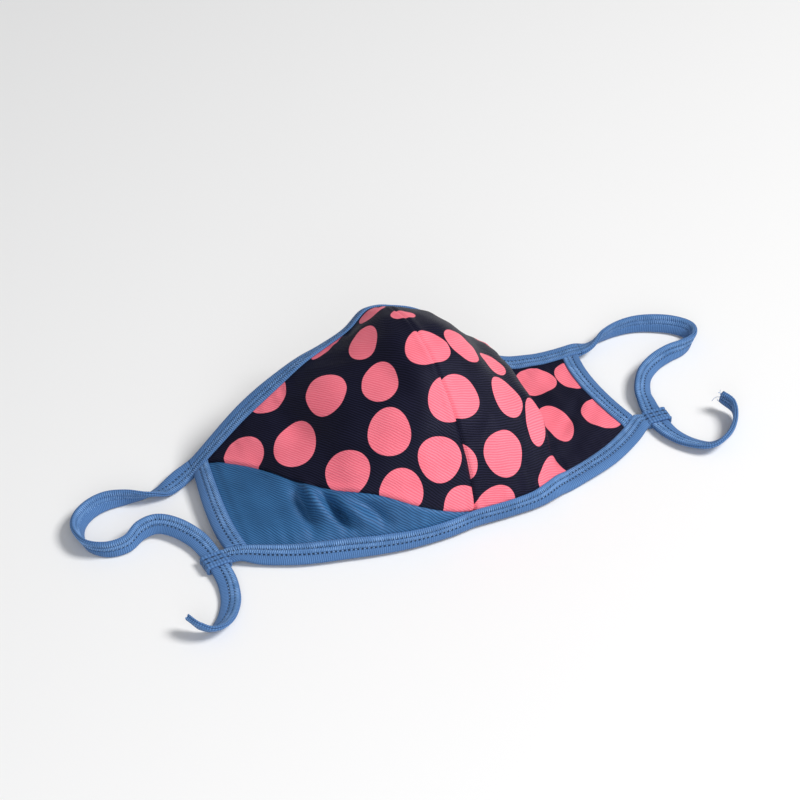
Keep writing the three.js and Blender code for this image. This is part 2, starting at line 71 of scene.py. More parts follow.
@dataclass(frozen=True)
class MaskSizes:
    """The mask's driving sizes, in millimetres."""

    half_width: float = 113.0
    depth: float = 104.0
    cup_height: float = 77.0
    panel_wall: float = 1.2
    tape_width: float = 9.5
    tape_leaf: float = 0.9
    strap_width: float = 9.2
    strap_thickness: float = 2.2
    strap_reach: float = 62.0
    keeper_length: float = 8.5
    keeper_wall: float = 1.2
    fit: float = 0.3


SIZES = MaskSizes()

# Cross sections of a half from the seam (first column 0) to its side edge (1). The columns are the
# out share, the chin edge's x, y and z, the rise's y and z, the fall's y and z, the nose edge's x, y
# and z, and the bows towards the seam at the chin and at the nose. X values are shares of the half
# width, Y of the depth and Z of the cup height.
LEFT_SECTIONS = (
    (0.00, 0.000, 0.000, 0.013, 0.010, 0.570, -0.440, 0.625, 0.000, 1.000, 0.675, 0, 0),
    (0.10, 0.106, -0.010, 0.013, 0.000, 0.545, -0.440, 0.570, 0.070, 1.000, 0.680, 0, 0),
    (0.18, 0.186, -0.010, 0.013, 0.000, 0.520, -0.440, 0.520, 0.150, 0.970, 0.625, 0, 0),
    (0.30, 0.310, 0.000, 0.013, 0.020, 0.440, -0.385, 0.390, 0.275, 0.960, 0.560, 0, 0),
    (0.40, 0.416, 0.020, 0.013, 0.050, 0.350, -0.345, 0.235, 0.380, 0.940, 0.545, 0, 0),
    (0.52, 0.531, 0.050, 0.013, 0.060, 0.245, -0.310, 0.050, 0.505, 0.930, 0.480, 0, 0),
    (0.70, 0.715, 0.105, 0.013, 0.060, 0.155, -0.250, -0.065, 0.655, 0.925, 0.350, 0, 0),
    (0.86, 0.860, 0.180, 0.013, 0.060, 0.105, -0.190, -0.050, 0.780, 0.910, 0.205, -0.01, 0),
    (1.00, 0.930, 0.230, 0.033, 0.070, 0.040, -0.155, -0.040, 0.895, 0.885, 0.080, -0.11, -0.02),
)
RIGHT_SECTIONS = (
    (0.00, 0.000, 0.000, 0.013, 0.010, 0.570, -0.440, 0.625, 0.000, 1.000, 0.675, 0, 0),
    (0.18, 0.186, -0.010, 0.013, -0.005, 0.490, -0.425, 0.570, 0.165, 0.970, 0.580, 0, 0),
    (0.29, 0.295, -0.010, 0.014, 0.010, 0.320, -0.400, 0.560, 0.290, 0.943, 0.420, 0.01, -0.01),
    (0.37, 0.380, 0.000, 0.018, 0.050, 0.100, -0.390, 0.560, 0.377, 0.928, 0.290, 0.01, -0.04),
    (0.44, 0.450, 0.013, 0.020, 0.080, 0.000, -0.330, 0.330, 0.440, 0.914, 0.205, 0.01, -0.04),
    (0.53, 0.538, 0.033, 0.019, 0.060, 0.045, -0.210, 0.020, 0.520, 0.900, 0.140, 0.02, 0.02),
    (0.70, 0.708, 0.090, 0.015, 0.060, 0.095, -0.190, 0.010, 0.665, 0.875, 0.090, 0.04, 0.04),
    (0.86, 0.850, 0.170, 0.014, 0.060, 0.080, -0.175, 0.025, 0.795, 0.875, 0.065, 0.06, 0.08),
    (1.00, 0.930, 0.225, 0.031, 0.070, 0.040, -0.155, 0.010, 0.920, 0.875, 0.065, 0.06, 0.12),
)

# Dents and folds pressed into a half: out and back shares of the place, the turn of its length in
# degrees, and its length, width and depth as shares of the cup height.
LEFT_DENTS = (
    (0.632, 0.28, 86, 0.15, 0.042, -0.060),
    (0.578, 0.30, 80, 0.11, 0.030, 0.062),
    (0.520, 0.215, 70, 0.10, 0.030, -0.082),
    (0.462, 0.205, 56, 0.12, 0.034, 0.060),
    (0.385, 0.16, 54, 0.10, 0.042, -0.044),
    (0.72, 0.17, 15, 0.16, 0.045, 0.012),
    (0.53, 0.66, 65, 0.20, 0.085, -0.034),
    (0.20, 0.62, 75, 0.24, 0.085, -0.030),
)
RIGHT_DENTS = (
    (0.47, 0.38, 88, 0.28, 0.050, -0.050),
    (0.365, 0.34, 95, 0.20, 0.060, 0.052),
    (0.30, 0.70, 80, 0.22, 0.100, -0.020),
    (0.12, 0.32, 60, 0.14, 0.040, -0.012),
    (0.27, 0.14, 120, 0.12, 0.045, -0.016),
    (0.72, 0.45, 30, 0.20, 0.050, -0.014),
)

# Where the plain chin piece meets the printed piece of the left half: out share, back share.
CHIN_PIECE_EDGE = (
    (-0.05, 0.040),
    (0.11, 0.090),
    (0.24, 0.150),
    (0.36, 0.225),
    (0.54, 0.340),
    (0.62, 0.425),
    (0.73, 0.585),
    (0.84, 0.735),
    (0.92, 0.850),
    (1.05, 0.930),
)

# The way of an ear strap: out share, down share, lift share, and the lean of its width in degrees.
LEFT_STRAP = (
    (0.000, 0.00, 0.24, -14),
    (0.060, 0.01, 0.20, -14),
    (0.150, 0.05, 0.10, -12),
    (0.270, 0.09, 0.02, 15),
    (0.390, 0.11, 0.00, 50),
    (0.530, 0.07, 0.00, 85),
    (0.680, 0.04, 0.00, 112),
    (0.820, 0.07, 0.00, 124),
    (0.940, 0.16, 0.00, 128),
    (1.000, 0.29, 0.00, 122),
    (0.990, 0.45, 0.00, 108),
    (0.880, 0.55, 0.00, 92),
    (0.730, 0.56, 0.02, 78),
    (0.590, 0.48, 0.12, 60),
    (0.460, 0.48, 0.22, 50),
    (0.350, 0.58, 0.22, 40),
    (0.265, 0.74, 0.18, 20),
    (0.235, 0.91, 0.163, 0),
    (0.235, 1.00, 0.163, 0),
    (0.235, 1.09, 0.163, 0),
    (0.250, 1.24, 0.06, 4),
    (0.310, 1.42, 0.00, 10),
    (0.420, 1.58, 0.00, 22),
    (0.540, 1.66, 0.02, 42),
    (0.630, 1.63, 0.22, 58),
    (0.690, 1.545, 0.50, 66),
)
RIGHT_STRAP = (
    (0.000, 0.00, 0.24, 6),
    (0.045, 0.00, 0.18, 20),
    (0.110, -0.03, 0.06, 48),
    (0.200, -0.07, 0.00, 72),
    (0.350, -0.10, 0.00, 88),
    (0.510, -0.09, 0.00, 100),
    (0.670, -0.03, 0.00, 112),
    (0.810, 0.06, 0.00, 124),
    (0.890, 0.17, 0.00, 130),
    (0.850, 0.30, 0.00, 108),
    (0.750, 0.35, 0.00, 84),
    (0.600, 0.37, 0.00, 68),
    (0.450, 0.42, 0.00, 60),
    (0.310, 0.52, 0.02, 46),
    (0.215, 0.68, 0.10, 28),
    (0.190, 0.80, 0.16, 12),
    (0.180, 0.91, 0.163, 0),
    (0.180, 1.00, 0.163, 0),
    (0.180, 1.09, 0.163, 0),
    (0.210, 1.22, 0.06, 10),
    (0.285, 1.36, 0.00, 18),
    (0.410, 1.48, 0.00, 32),
    (0.555, 1.47, 0.00, 62),
    (0.690, 1.36, 0.03, 85),
    (0.755, 1.22, 0.20, 98),
    (0.700, 1.10, 0.45, 104),
)

# Loose threads at a cut end: the share across the tape where each starts, and its length, its bend to
# the side and its lift, in millimetres.
LOOSE_THREADS = (
    (0.15, 2.0, 1.0, -0.4),
    (0.45, 4.6, -2.2, -2.8),
    (0.80, 1.6, -0.7, 0.4),
    (0.95, 2.6, 1.4, 0.6),
)


@dataclass(frozen=True)
class PrintedDot:
    """A dot of the print: half its width and length in millimetres, and the length's turn in degrees.

    The pixel is where the photograph shows its middle. Where the seam, a tape or the cup hides the middle,
    out and back shares place it instead, and a share below 0 lies beyond the seam.
    """

    half_width: float
    half_length: float
    pixel: tuple[float, float] | None = None
    shares: tuple[float, float] | None = None
    turn: float = 0.0


LEFT_DOTS = (
    PrintedDot(10.8, 11.4, pixel=(297, 445)),
    PrintedDot(10.4, 10.4, pixel=(326, 395)),
    PrintedDot(10.6, 10.6, pixel=(347, 473)),
    PrintedDot(10.0, 10.0, pixel=(402, 492)),
    PrintedDot(8.0, 9.6, pixel=(364, 344), turn=25),
    PrintedDot(8.8, 10.2, pixel=(380, 383)),
    PrintedDot(10.2, 10.8, pixel=(389, 432)),
    PrintedDot(10.2, 10.2, pixel=(440, 459)),
    PrintedDot(9.8, 9.6, pixel=(426, 346)),
    PrintedDot(10.2, 10.4, pixel=(455, 398)),
    PrintedDot(10.0, 10.5, pixel=(245, 457)),
    PrintedDot(10.3, 10.3, shares=(0.57, 0.93)),
    PrintedDot(5.0, 14.0, shares=(0.26, 0.95), turn=68),
    PrintedDot(7.4, 5.4, shares=(0.10, 0.89)),
    PrintedDot(6.0, 5.6, shares=(-0.01, 0.78)),
    PrintedDot(9.8, 9.8, pixel=(461, 505)),
)
RIGHT_DOTS = (
    PrintedDot(10.4, 10.6, pixel=(504, 453)),
    PrintedDot(9.6, 10.4, pixel=(506, 397), turn=-10),
    PrintedDot(9.2, 10.2, pixel=(462, 345)),
    PrintedDot(6.8, 7.8, pixel=(492, 364)),
    PrintedDot(10.0, 10.0, pixel=(535, 383)),
    PrintedDot(6.6, 12.0, pixel=(535, 422), turn=-8),
    PrintedDot(7.4, 13.0, pixel=(556, 425), turn=-8),
    PrintedDot(11.2, 10.6, pixel=(604, 413)),
    PrintedDot(11.6, 9.6, pixel=(554, 478)),
    PrintedDot(10.6, 9.4, pixel=(495, 504)),
    PrintedDot(9.0, 9.4, pixel=(430, 346)),
    PrintedDot(6.6, 5.4, shares=(0.0, 0.78)),
    PrintedDot(10.0, 10.3, pixel=(458, 397)),
    PrintedDot(10.0, 10.0, shares=(0.90, 0.69)),
    PrintedDot(10.0, 10.4, shares=(-0.05, 0.22)),
    PrintedDot(8.5, 9.0, shares=(0.47, 0.56)),
    PrintedDot(9.0, 9.0, shares=(0.385, 0.785)),
    PrintedDot(9.0, 9.0, shares=(0.22, 0.90)),
    PrintedDot(8.5, 8.5, shares=(0.52, 0.95)),
)


@dataclass(frozen=True)
class PhotoView:
    """The photograph's camera, and the pixel where it shows the seam's foot."""

    azimuth: float = -26.0
    elevation: float = 40.0
    distance: float = 1.1
    pixels_per_radian: float = 2420.0
    frame_pixels: float = 800.0
    seam_pixel: tuple[float, float] = (475.0, 527.0)

    def axes(self) -> tuple[np.ndarray, np.ndarray, np.ndarray]:
        """The camera's right, up and backward directions."""
        az, el = math.radians(self.azimuth), math.radians(self.elevation)
        back = np.array([math.sin(az) * math.cos(el), -math.cos(az) * math.cos(el), math.sin(el)])
        right = np.array([math.cos(az), math.sin(az), 0.0])
        return right, np.cross(back, right), back

    def place(self) -> np.ndarray:
        """Where the camera stands, in metres from the seam's foot."""
        right, up, back = self.axes()
        aim_x = (self.frame_pixels / 2 - self.seam_pixel[0]) / self.pixels_per_radian
        aim_y = (self.seam_pixel[1] - self.frame_pixels / 2) / self.pixels_per_radian
        return (back + right * aim_x + up * aim_y) * self.distance

    def pixels(self, points: np.ndarray) -> tuple[np.ndarray, np.ndarray]:
        """Where the photograph shows points.

        Args:
            points: Points in millimetres from the seam's foot.

        Returns:
            Their pixels, and how far ahead of the camera they lie in millimetres.
        """
        right, up, back = self.axes()
        way = points - self.place() / MM
        ahead = -(way @ back)
        middle = self.frame_pixels / 2
        across = middle + self.pixels_per_radian * (way @ right) / ahead
        down = middle - self.pixels_per_radian * (way @ up) / ahead
        return np.stack([across, down], -1), ahead


VIEW = PhotoView()


def smooth_rows(rows: np.ndarray, place: np.ndarray) -> np.ndarray:
    """Values of a table between its rows, as smooth curves through them.

    Args:
        rows: The table, with the places in its first column.
        place: Places to read it at.

    Returns:
        The other columns' values, one row for each place.
    """
    keys, values = rows[:, 0], rows[:, 1:]
    place = np.clip(np.asarray(place, float), keys[0], keys[-1])
    k = np.clip(np.searchsorted(keys, place, side="right") - 1, 0, len(keys) - 2)
    rise = (values[1:] - values[:-1]) / (keys[1:] - keys[:-1])[:, None]
    before = (keys[1:-1] - keys[:-2])[:, None]
    after = (keys[2:] - keys[1:-1])[:, None]
    inner = (rise[1:] * before + rise[:-1] * after) / (after + before)
    slope = np.vstack([rise[:1], inner, rise[-1:]])
    span = (keys[k + 1] - keys[k])[..., None]
    t = (place - keys[k])[..., None] / span
    return (
        (2 * t**3 - 3 * t**2 + 1) * values[k]
        + (t**3 - 2 * t**2 + t) * span * slope[k]
        + (-2 * t**3 + 3 * t**2) * values[k + 1]
        + (t**3 - t**2) * span * slope[k + 1]
    )


def ease(values: np.ndarray, low: float, high: float) -> np.ndarray:
    """A smooth step from 0 at low to 1 at high."""
    t = np.clip((values - low) / (high - low), 0, 1)
    return t * t * (3 - 2 * t)


def unit(vectors: np.ndarray) -> np.ndarray:
    """The vectors at length one."""
    return vectors / np.maximum(np.linalg.norm(vectors, axis=-1, keepdims=True), 1e-12)


@dataclass
class CupHalf:
    """One half of the mask as a surface: the middle of its cloth, in millimetres."""

    side: Side
    sections: np.ndarray
    dents: np.ndarray
    arc_steps: int = 24
    probe: float = 0.004

    def controls(self, out: np.ndarray) -> list[np.ndarray]:
        """The four control points of the section at each out share."""
        row = smooth_rows(self.sections, out)
        scale = np.array([SIZES.half_width, SIZES.depth, SIZES.cup_height])
        chin = row[..., 0:3] * scale
        nose = row[..., 7:10] * scale
        rise = chin.copy()
        rise[..., 1:] += row[..., 3:5] * scale[1:]
        rise[..., 0] = (2 * chin[..., 0] + nose[..., 0]) / 3 - row[..., 10] * scale[0]
        fall = nose.copy()
        fall[..., 1:] += row[..., 5:7] * scale[1:]
        fall[..., 0] = (chin[..., 0] + 2 * nose[..., 0]) / 3 - row[..., 11] * scale[0]
        return [chin, rise, fall, nose]

    @staticmethod
    def bezier(controls: list[np.ndarray], t: np.ndarray) -> np.ndarray:
        """Points of cubic curves at t."""
        t = t[..., None]
        a, b, c, d = controls
        return (1 - t) ** 3 * a + 3 * (1 - t) ** 2 * t * b + 3 * (1 - t) * t * t * c + t**3 * d

    def arcs(self, out: np.ndarray) -> tuple[list[np.ndarray], np.ndarray]:
        """The sections' control points and their lengths up to each of the arc steps."""
        controls = self.controls(out)
        t = np.broadcast_to(np.linspace(0, 1, self.arc_steps + 1), out.shape + (self.arc_steps + 1,))
        points = self.bezier([c[..., None, :] for c in controls], t)
        steps = np.linalg.norm(np.diff(points, axis=-2), axis=-1)
        lengths = np.concatenate([np.zeros(out.shape + (1,)), np.cumsum(steps, -1)], -1)
        return controls, lengths

    def length(self, out: np.ndarray) -> np.ndarray:
        """The length of the section at each out share."""
        return self.arcs(np.asarray(out, float))[1][..., -1]

    def plain(self, out: np.ndarray, back: np.ndarray) -> np.ndarray:
        """The surface without its dents."""
        out, back = np.broadcast_arrays(np.asarray(out, float), np.asarray(back, float))
        controls, lengths = self.arcs(out)
        goal = np.clip(back, 0, 1) * lengths[..., -1]
        k = np.clip((lengths < goal[..., None]).sum(-1), 1, self.arc_steps)
        low = np.take_along_axis(lengths, (k - 1)[..., None], -1)[..., 0]
        high = np.take_along_axis(lengths, k[..., None], -1)[..., 0]
        points = self.bezier(controls, (k - 1 + (goal - low) / (high - low)) / self.arc_steps)
        points[..., 0] *= self.side.value
        return points

    def pressed(self, out: np.ndarray, back: np.ndarray) -> np.ndarray:
        """How far the dents move the surface along its normal."""
        length = self.length(out)
        depth = np.zeros(np.broadcast(out, back).shape)
        for place_out, place_back, turn, along, across, deep in self.dents:
            turn = math.radians(turn)
            dx = (out - place_out) * SIZES.half_width
            dy = (back - place_back) * length
            far = ((dx * math.cos(turn) + dy * math.sin(turn)) / (along * SIZES.cup_height)) ** 2
            far = far + ((dy * math.cos(turn) - dx * math.sin(turn)) / (across * SIZES.cup_height)) ** 2
            depth = depth + deep * SIZES.cup_height * np.exp(-far)
        edge = np.minimum(back, 1 - back) * length - SIZES.tape_width / 2
        return depth * ease(edge, 0, SIZES.tape_width)

    def steps(self, place, out: np.ndarray, back: np.ndarray) -> tuple[np.ndarray, np.ndarray, np.ndarray]:
        """The across and along directions and the outward normal of a surface function."""
        d = self.probe
        across = place(np.minimum(out + d, 1), back) - place(np.maximum(out - d, 0), back)
        along = place(out, np.minimum(back + d, 1)) - place(out, np.maximum(back - d, 0))
        normal = np.cross(across, along) * self.side.value
        normal[..., 0] = np.where(out == 0, 0, normal[..., 0])
        return unit(across), unit(along), unit(normal)

    def point(self, out: np.ndarray, back: np.ndarray) -> np.ndarray:
        """The surface with its dents."""
        out, back = np.broadcast_arrays(np.asarray(out, float), np.asarray(back, float))
        normal = self.steps(self.plain, out, back)[2]
        return self.plain(out, back) + normal * self.pressed(out, back)[..., None]

    def normal(self, out: np.ndarray, back: np.ndarray) -> np.ndarray:
        """The outward normal of the surface with its dents."""
        out, back = np.broadcast_arrays(np.asarray(out, float), np.asarray(back, float))
        return self.steps(self.point, out, back)[2]

    def beyond(self, out: float, back: float) -> tuple[np.ndarray, np.ndarray, np.ndarray, np.ndarray]:
        """A point of the surface, or past its edge along the edge's own direction.

        Args:
            out: Out share.
            back: Back share.

        Returns:
            The point, the across and along directions at right angles, and the normal.
        """
        near_out, near_back = np.array([min(max(out, 0), 1)]), np.array([min(max(back, 0), 1)])
        across, along, normal = self.steps(self.point, near_out, near_back)
        point = self.point(near_out, near_back) + across * (out - near_out) * SIZES.half_width
        point = point + along * (back - near_back) * self.length(near_out)
        normal = np.cross(across, along)
        return point[0], unit(np.cross(along, normal))[0], along[0], unit(normal)[0]

    def dot_places(
        self, dots: tuple[PrintedDot, ...], view: PhotoView, steps: int = 200
    ) -> list[tuple[float, float]]:
        """The out and back shares of printed dots.

        Args:
            dots: The dots.
            view: The camera that their pixels belong to.
            steps: How finely the surface is searched for the point that shows at a pixel.

        Returns:
            Each dot's shares: its own, or those of the foremost point that shows at its pixel.
        """
        share = np.linspace(0, 1, steps + 1)
        out, back = np.meshgrid(share, share, indexing="ij")
        pixels, ahead = view.pixels(self.point(out, back))
        faces_camera = self.normal(out, back) @ view.axes()[2] > 0.02
        places = []
        for dot in dots:
            if dot.pixel is None:
                places.append(dot.shares)
                continue
            off = np.linalg.norm(pixels - np.array(dot.pixel), axis=-1)
            near = faces_camera & (off < max(1.5, off[faces_camera].min() + 0.3))
            front = near & (ahead < ahead[near].min() + 4.0)
            best = np.unravel_index(np.argmin(np.where(front, off, np.inf)), off.shape)
            places.append((float(out[best]), float(back[best])))
        return places

    def side_pace(self, back: np.ndarray) -> np.ndarray:
        """Millimetres across per unit of the out share, at the side edge."""
        near = 0.06
        one = np.ones_like(back)
        return np.linalg.norm(self.plain(one, back) - self.plain(one - near, back), axis=-1) / near


def make_object(
    name: str, points: np.ndarray, faces: list, layers: dict[str, np.ndarray]
) -> bpy.types.Object:
    """A smooth-shaded mesh object in place, with attributes on its points.

    Args:
        name: The piece's name.
        points: Its points in millimetres from the seam's foot.
        faces: Its faces as tuples of point numbers, wound alike.
        layers: Attributes by name, a number or a vector for each point.

    Returns:
        The object, with its faces pointing out.
    """
    fans = [(f[0], f[i], f[i + 1]) for f in faces for i in range(1, len(f) - 1)]
    a, b, c = (points[[fan[i] for fan in fans]] for i in range(3))
    if np.einsum("ij,ij->i", a, np.cross(b, c)).sum() < 0:
        faces = [tuple(reversed(f)) for f in faces]
    mesh = bpy.data.meshes.new(name)
    mesh.from_pydata(((points + SEAM_FOOT) * MM).tolist(), [], faces)
    mesh.polygons.foreach_set("use_smooth", [True] * len(mesh.polygons))
    for key, values in layers.items():
        kind = "FLOAT" if values.ndim == 1 else "FLOAT_VECTOR"
        layer = mesh.attributes.new(key, kind, "POINT")
        layer.data.foreach_set("value" if kind == "FLOAT" else "vector", values.astype("f4").ravel())
    mesh.update()
    piece = bpy.data.objects.new(name, mesh)
    bpy.context.collection.objects.link(piece)
    return piece


def ring_faces(rings: int, count: int) -> list[tuple[int, ...]]:
    """Faces between rows of rings of the same count of points, with both ends closed."""
    faces = []
    for s in range(rings - 1):
        low, high = s * count, (s + 1) * count
        faces += [(low + k, low + (k + 1) % count, high + (k + 1) % count, high + k) for k in range(count)]
    faces.append(tuple(range(count - 1, -1, -1)))
    faces.append(tuple(range((rings - 1) * count, rings * count)))
    return faces


def softened(rings: np.ndarray, middle: int, reach: int) -> np.ndarray:
    """The rings with their points evened out along the run near one of them.

    Args:
        rings: Points by ring and by place on the ring.
        middle: The ring where the run changes.
        reach: How many rings to each side are evened out.

    Returns:
        The changed rings.
    """
    spread = np.exp(-((np.arange(-reach, reach + 1) / (reach * 0.45)) ** 2))
    spread /= spread.sum()
    padded = np.concatenate([np.repeat(rings[:1], reach, 0), rings, np.repeat(rings[-1:], reach, 0)])
    even = sum(w * padded[i : i + len(rings)] for i, w in enumerate(spread))
    share = 1 - ease(np.abs(np.arange(len(rings)) - middle), reach * 0.5, reach * 1.5)
    return rings + (even - rings) * share[:, None, None]


class NodeBoard:
    """Adds nodes to one tree and joins them."""

    def __init__(self, tree: bpy.types.NodeTree) -> None:
        """Keeps the tree."""
        self.tree = tree

    def add(self, kind: str, inputs: dict | None = None, **settings: object) -> bpy.types.Node:
        """A node with its settings and inputs, each input a value or another node's output.

        Args:
            kind: The node's type name.
            inputs: Values or sockets by the input's name or number.
            settings: The node's own properties.

        Returns:
            The node.
        """
        node = self.tree.nodes.new(kind)
        for key, value in settings.items():
            setattr(node, key, value)
        for key, value in (inputs or {}).items():
            socket = node.inputs[key]
            if isinstance(value, bpy.types.NodeSocket):
                self.tree.links.new(value, socket)
            else:
                socket.default_value = value
        return node

    def math(self, operation: str, a: object, b: object = 0.0, clamp: bool = False) -> bpy.types.NodeSocket:
        """The output of a Math node."""
        return self.add("ShaderNodeMath", {0: a, 1: b}, operation=operation, use_clamp=clamp).outputs[0]

    def step(
        self, value: object, low: float, high: float, to_low: float = 0.0, to_high: float = 1.0
    ) -> bpy.types.NodeSocket:
        """A smooth step of a value."""
        inputs = {"Value": value, "From Min": low, "From Max": high, "To Min": to_low, "To Max": to_high}
        return self.add("ShaderNodeMapRange", inputs, interpolation_type="SMOOTHSTEP").outputs[0]

    def mix(self, share: object, a: object, b: object) -> bpy.types.NodeSocket:
        """A colour between two colours."""
        return self.add("ShaderNodeMix", {0: share, 6: a, 7: b}, data_type="RGBA").outputs[2]


def shader_group(name: str, inputs: dict[str, object], outputs: list[str]) -> tuple[NodeBoard, dict, dict]:
    """An empty shader group with named inputs and outputs.

    Args:
        name: The group's name.
        inputs: Default values by input name, None for a vector.
        outputs: Names of its numeric outputs.

    Returns:
        The board, the input sockets by name and the output sockets by name.
    """
    tree = bpy.data.node_groups.new(name, "ShaderNodeTree")
    for key, value in inputs.items():
        kind = "NodeSocketVector" if value is None else "NodeSocketFloat"
        socket = tree.interface.new_socket(key, in_out="INPUT", socket_type=kind)
        if value is not None:
            socket.default_value = value
    for key in outputs:
        tree.interface.new_socket(key, in_out="OUTPUT", socket_type="NodeSocketFloat")
    board = NodeBoard(tree)
    entry = board.add("NodeGroupInput")
    leave = board.add("NodeGroupOutput")
    return board, {s.name: s for s in entry.outputs if s.name}, {s.name: s for s in leave.inputs if s.name}


def knit_ribs_group() -> bpy.types.NodeTree:
    """The shared group of a fine ribbed knit.

    Returns:
        A group that gives the ribs' height and a tone that falls to 0 in their valleys, for painted shade
        there, both from 0 to 1.
    """
    inputs = {"Place": None, "Pitch": 1.2, "Turn": 45.0, "Loop Length": 0.8, "Waver": 0.25}
    board, got, give = shader_group("knit_ribs", inputs, ["Height", "Tone"])
    slow = {"Vector": got["Place"], "Scale": 0.12, "Detail": 2.0}
    wander = board.add("ShaderNodeTexNoise", slow).outputs["Fac"]
    about = {"Vector": got["Place"], "Angle": board.math("RADIANS", got["Turn"])}
    turned = board.add("ShaderNodeVectorRotate", about, rotation_type="Z_AXIS")
    split = board.add("ShaderNodeSeparateXYZ", {0: turned.outputs[0]}).outputs
    shift = board.math("MULTIPLY", board.math("SUBTRACT", wander, 0.5), got["Waver"])
    shift = board.math("MULTIPLY", shift, 6.0)
    across = board.math("ADD", board.math("DIVIDE", split[1], got["Pitch"]), shift)
    rib = board.math("COSINE", board.math("MULTIPLY", across, math.tau))
    rib = board.math("MULTIPLY_ADD", rib, 0.5)
    board.tree.nodes[-1].inputs[2].default_value = 0.5
    along = board.math("DIVIDE", split[0], got["Loop Length"])
    slant = board.math("ADD", along, board.math("MULTIPLY", across, 0.5))
    loop = board.math("ABSOLUTE", board.math("SINE", board.math("MULTIPLY", slant, math.pi)))
    height = board.math("ADD", board.math("MULTIPLY", rib, 0.7), board.math("MULTIPLY", loop, 0.3))
    board.tree.links.new(height, give["Height"])
    # Painted shade: the tone falls to 0 in the rib valleys, where the materials darken the colour.
    board.tree.links.new(board.math("POWER", rib, 0.6), give["Tone"])
    return board.tree


def mottle_group() -> bpy.types.NodeTree:
    """The shared group of soft unevenness and fuzz.

    Returns:
        A group that gives a broad tone and a fine fuzz, both from 0 to 1.
    """
    inputs = {"Place": None, "Broad Scale": 0.05, "Fuzz Scale": 2.5}
    board, got, give = shader_group("cloth_mottle", inputs, ["Tone", "Fuzz"])
    broad = {"Vector": got["Place"], "Scale": got["Broad Scale"], "Detail": 3.0, "Roughness": 0.6}
    board.tree.links.new(board.add("ShaderNodeTexNoise", broad).outputs["Fac"], give["Tone"])
    fine = {"Vector": got["Place"], "Scale": got["Fuzz Scale"], "Detail": 2.0, "Roughness": 0.7}
    board.tree.links.new(board.add("ShaderNodeTexNoise", fine).outputs["Fac"], give["Fuzz"])
    return board.tree


def needle_row_group() -> bpy.types.NodeTree:
    """The shared group of a row of needle holes along a tape.

    Returns:
        A group that gives the holes' mask and the mask of the sunk line that they lie in.
    """
    inputs = {"Place": None, "Row": 4.0, "Pitch": 2.0, "Hole Length": 0.6, "Hole Width": 0.4}
    board, got, give = shader_group("needle_row", inputs, ["Hole", "Line"])
    split = board.add("ShaderNodeSeparateXYZ", {0: got["Place"]}).outputs
    beside = board.math("ABSOLUTE", board.math("SUBTRACT", split[1], got["Row"]))
    share = board.math("FRACT", board.math("DIVIDE", split[0], got["Pitch"]))
    along = board.math("MULTIPLY", board.math("ABSOLUTE", board.math("SUBTRACT", share, 0.5)), got["Pitch"])
    far = board.math("ADD", board.math("POWER", board.math("DIVIDE", along, got["Hole Length"]), 2.0),
                     board.math("POWER", board.math("DIVIDE", beside, got["Hole Width"]), 2.0))
    board.tree.links.new(board.step(far, 0.5, 1.5, 1.0, 0.0), give["Hole"])
    line = board.math("DIVIDE", beside, board.math("MULTIPLY", got["Hole Width"], 1.6))
    board.tree.links.new(board.step(line, 0.3, 1.2, 1.0, 0.0), give["Line"])
    return board.tree


@dataclass(frozen=True)
class Ink:
    """The colour of the printed dots, lit on the rib tops and darkened by painted shade between them."""

    # lit is the dots' colour on the lit rib tops; deep is that colour with painted shade in the rib valleys.
    lit: tuple[float, float, float]
    deep: tuple[float, float, float]


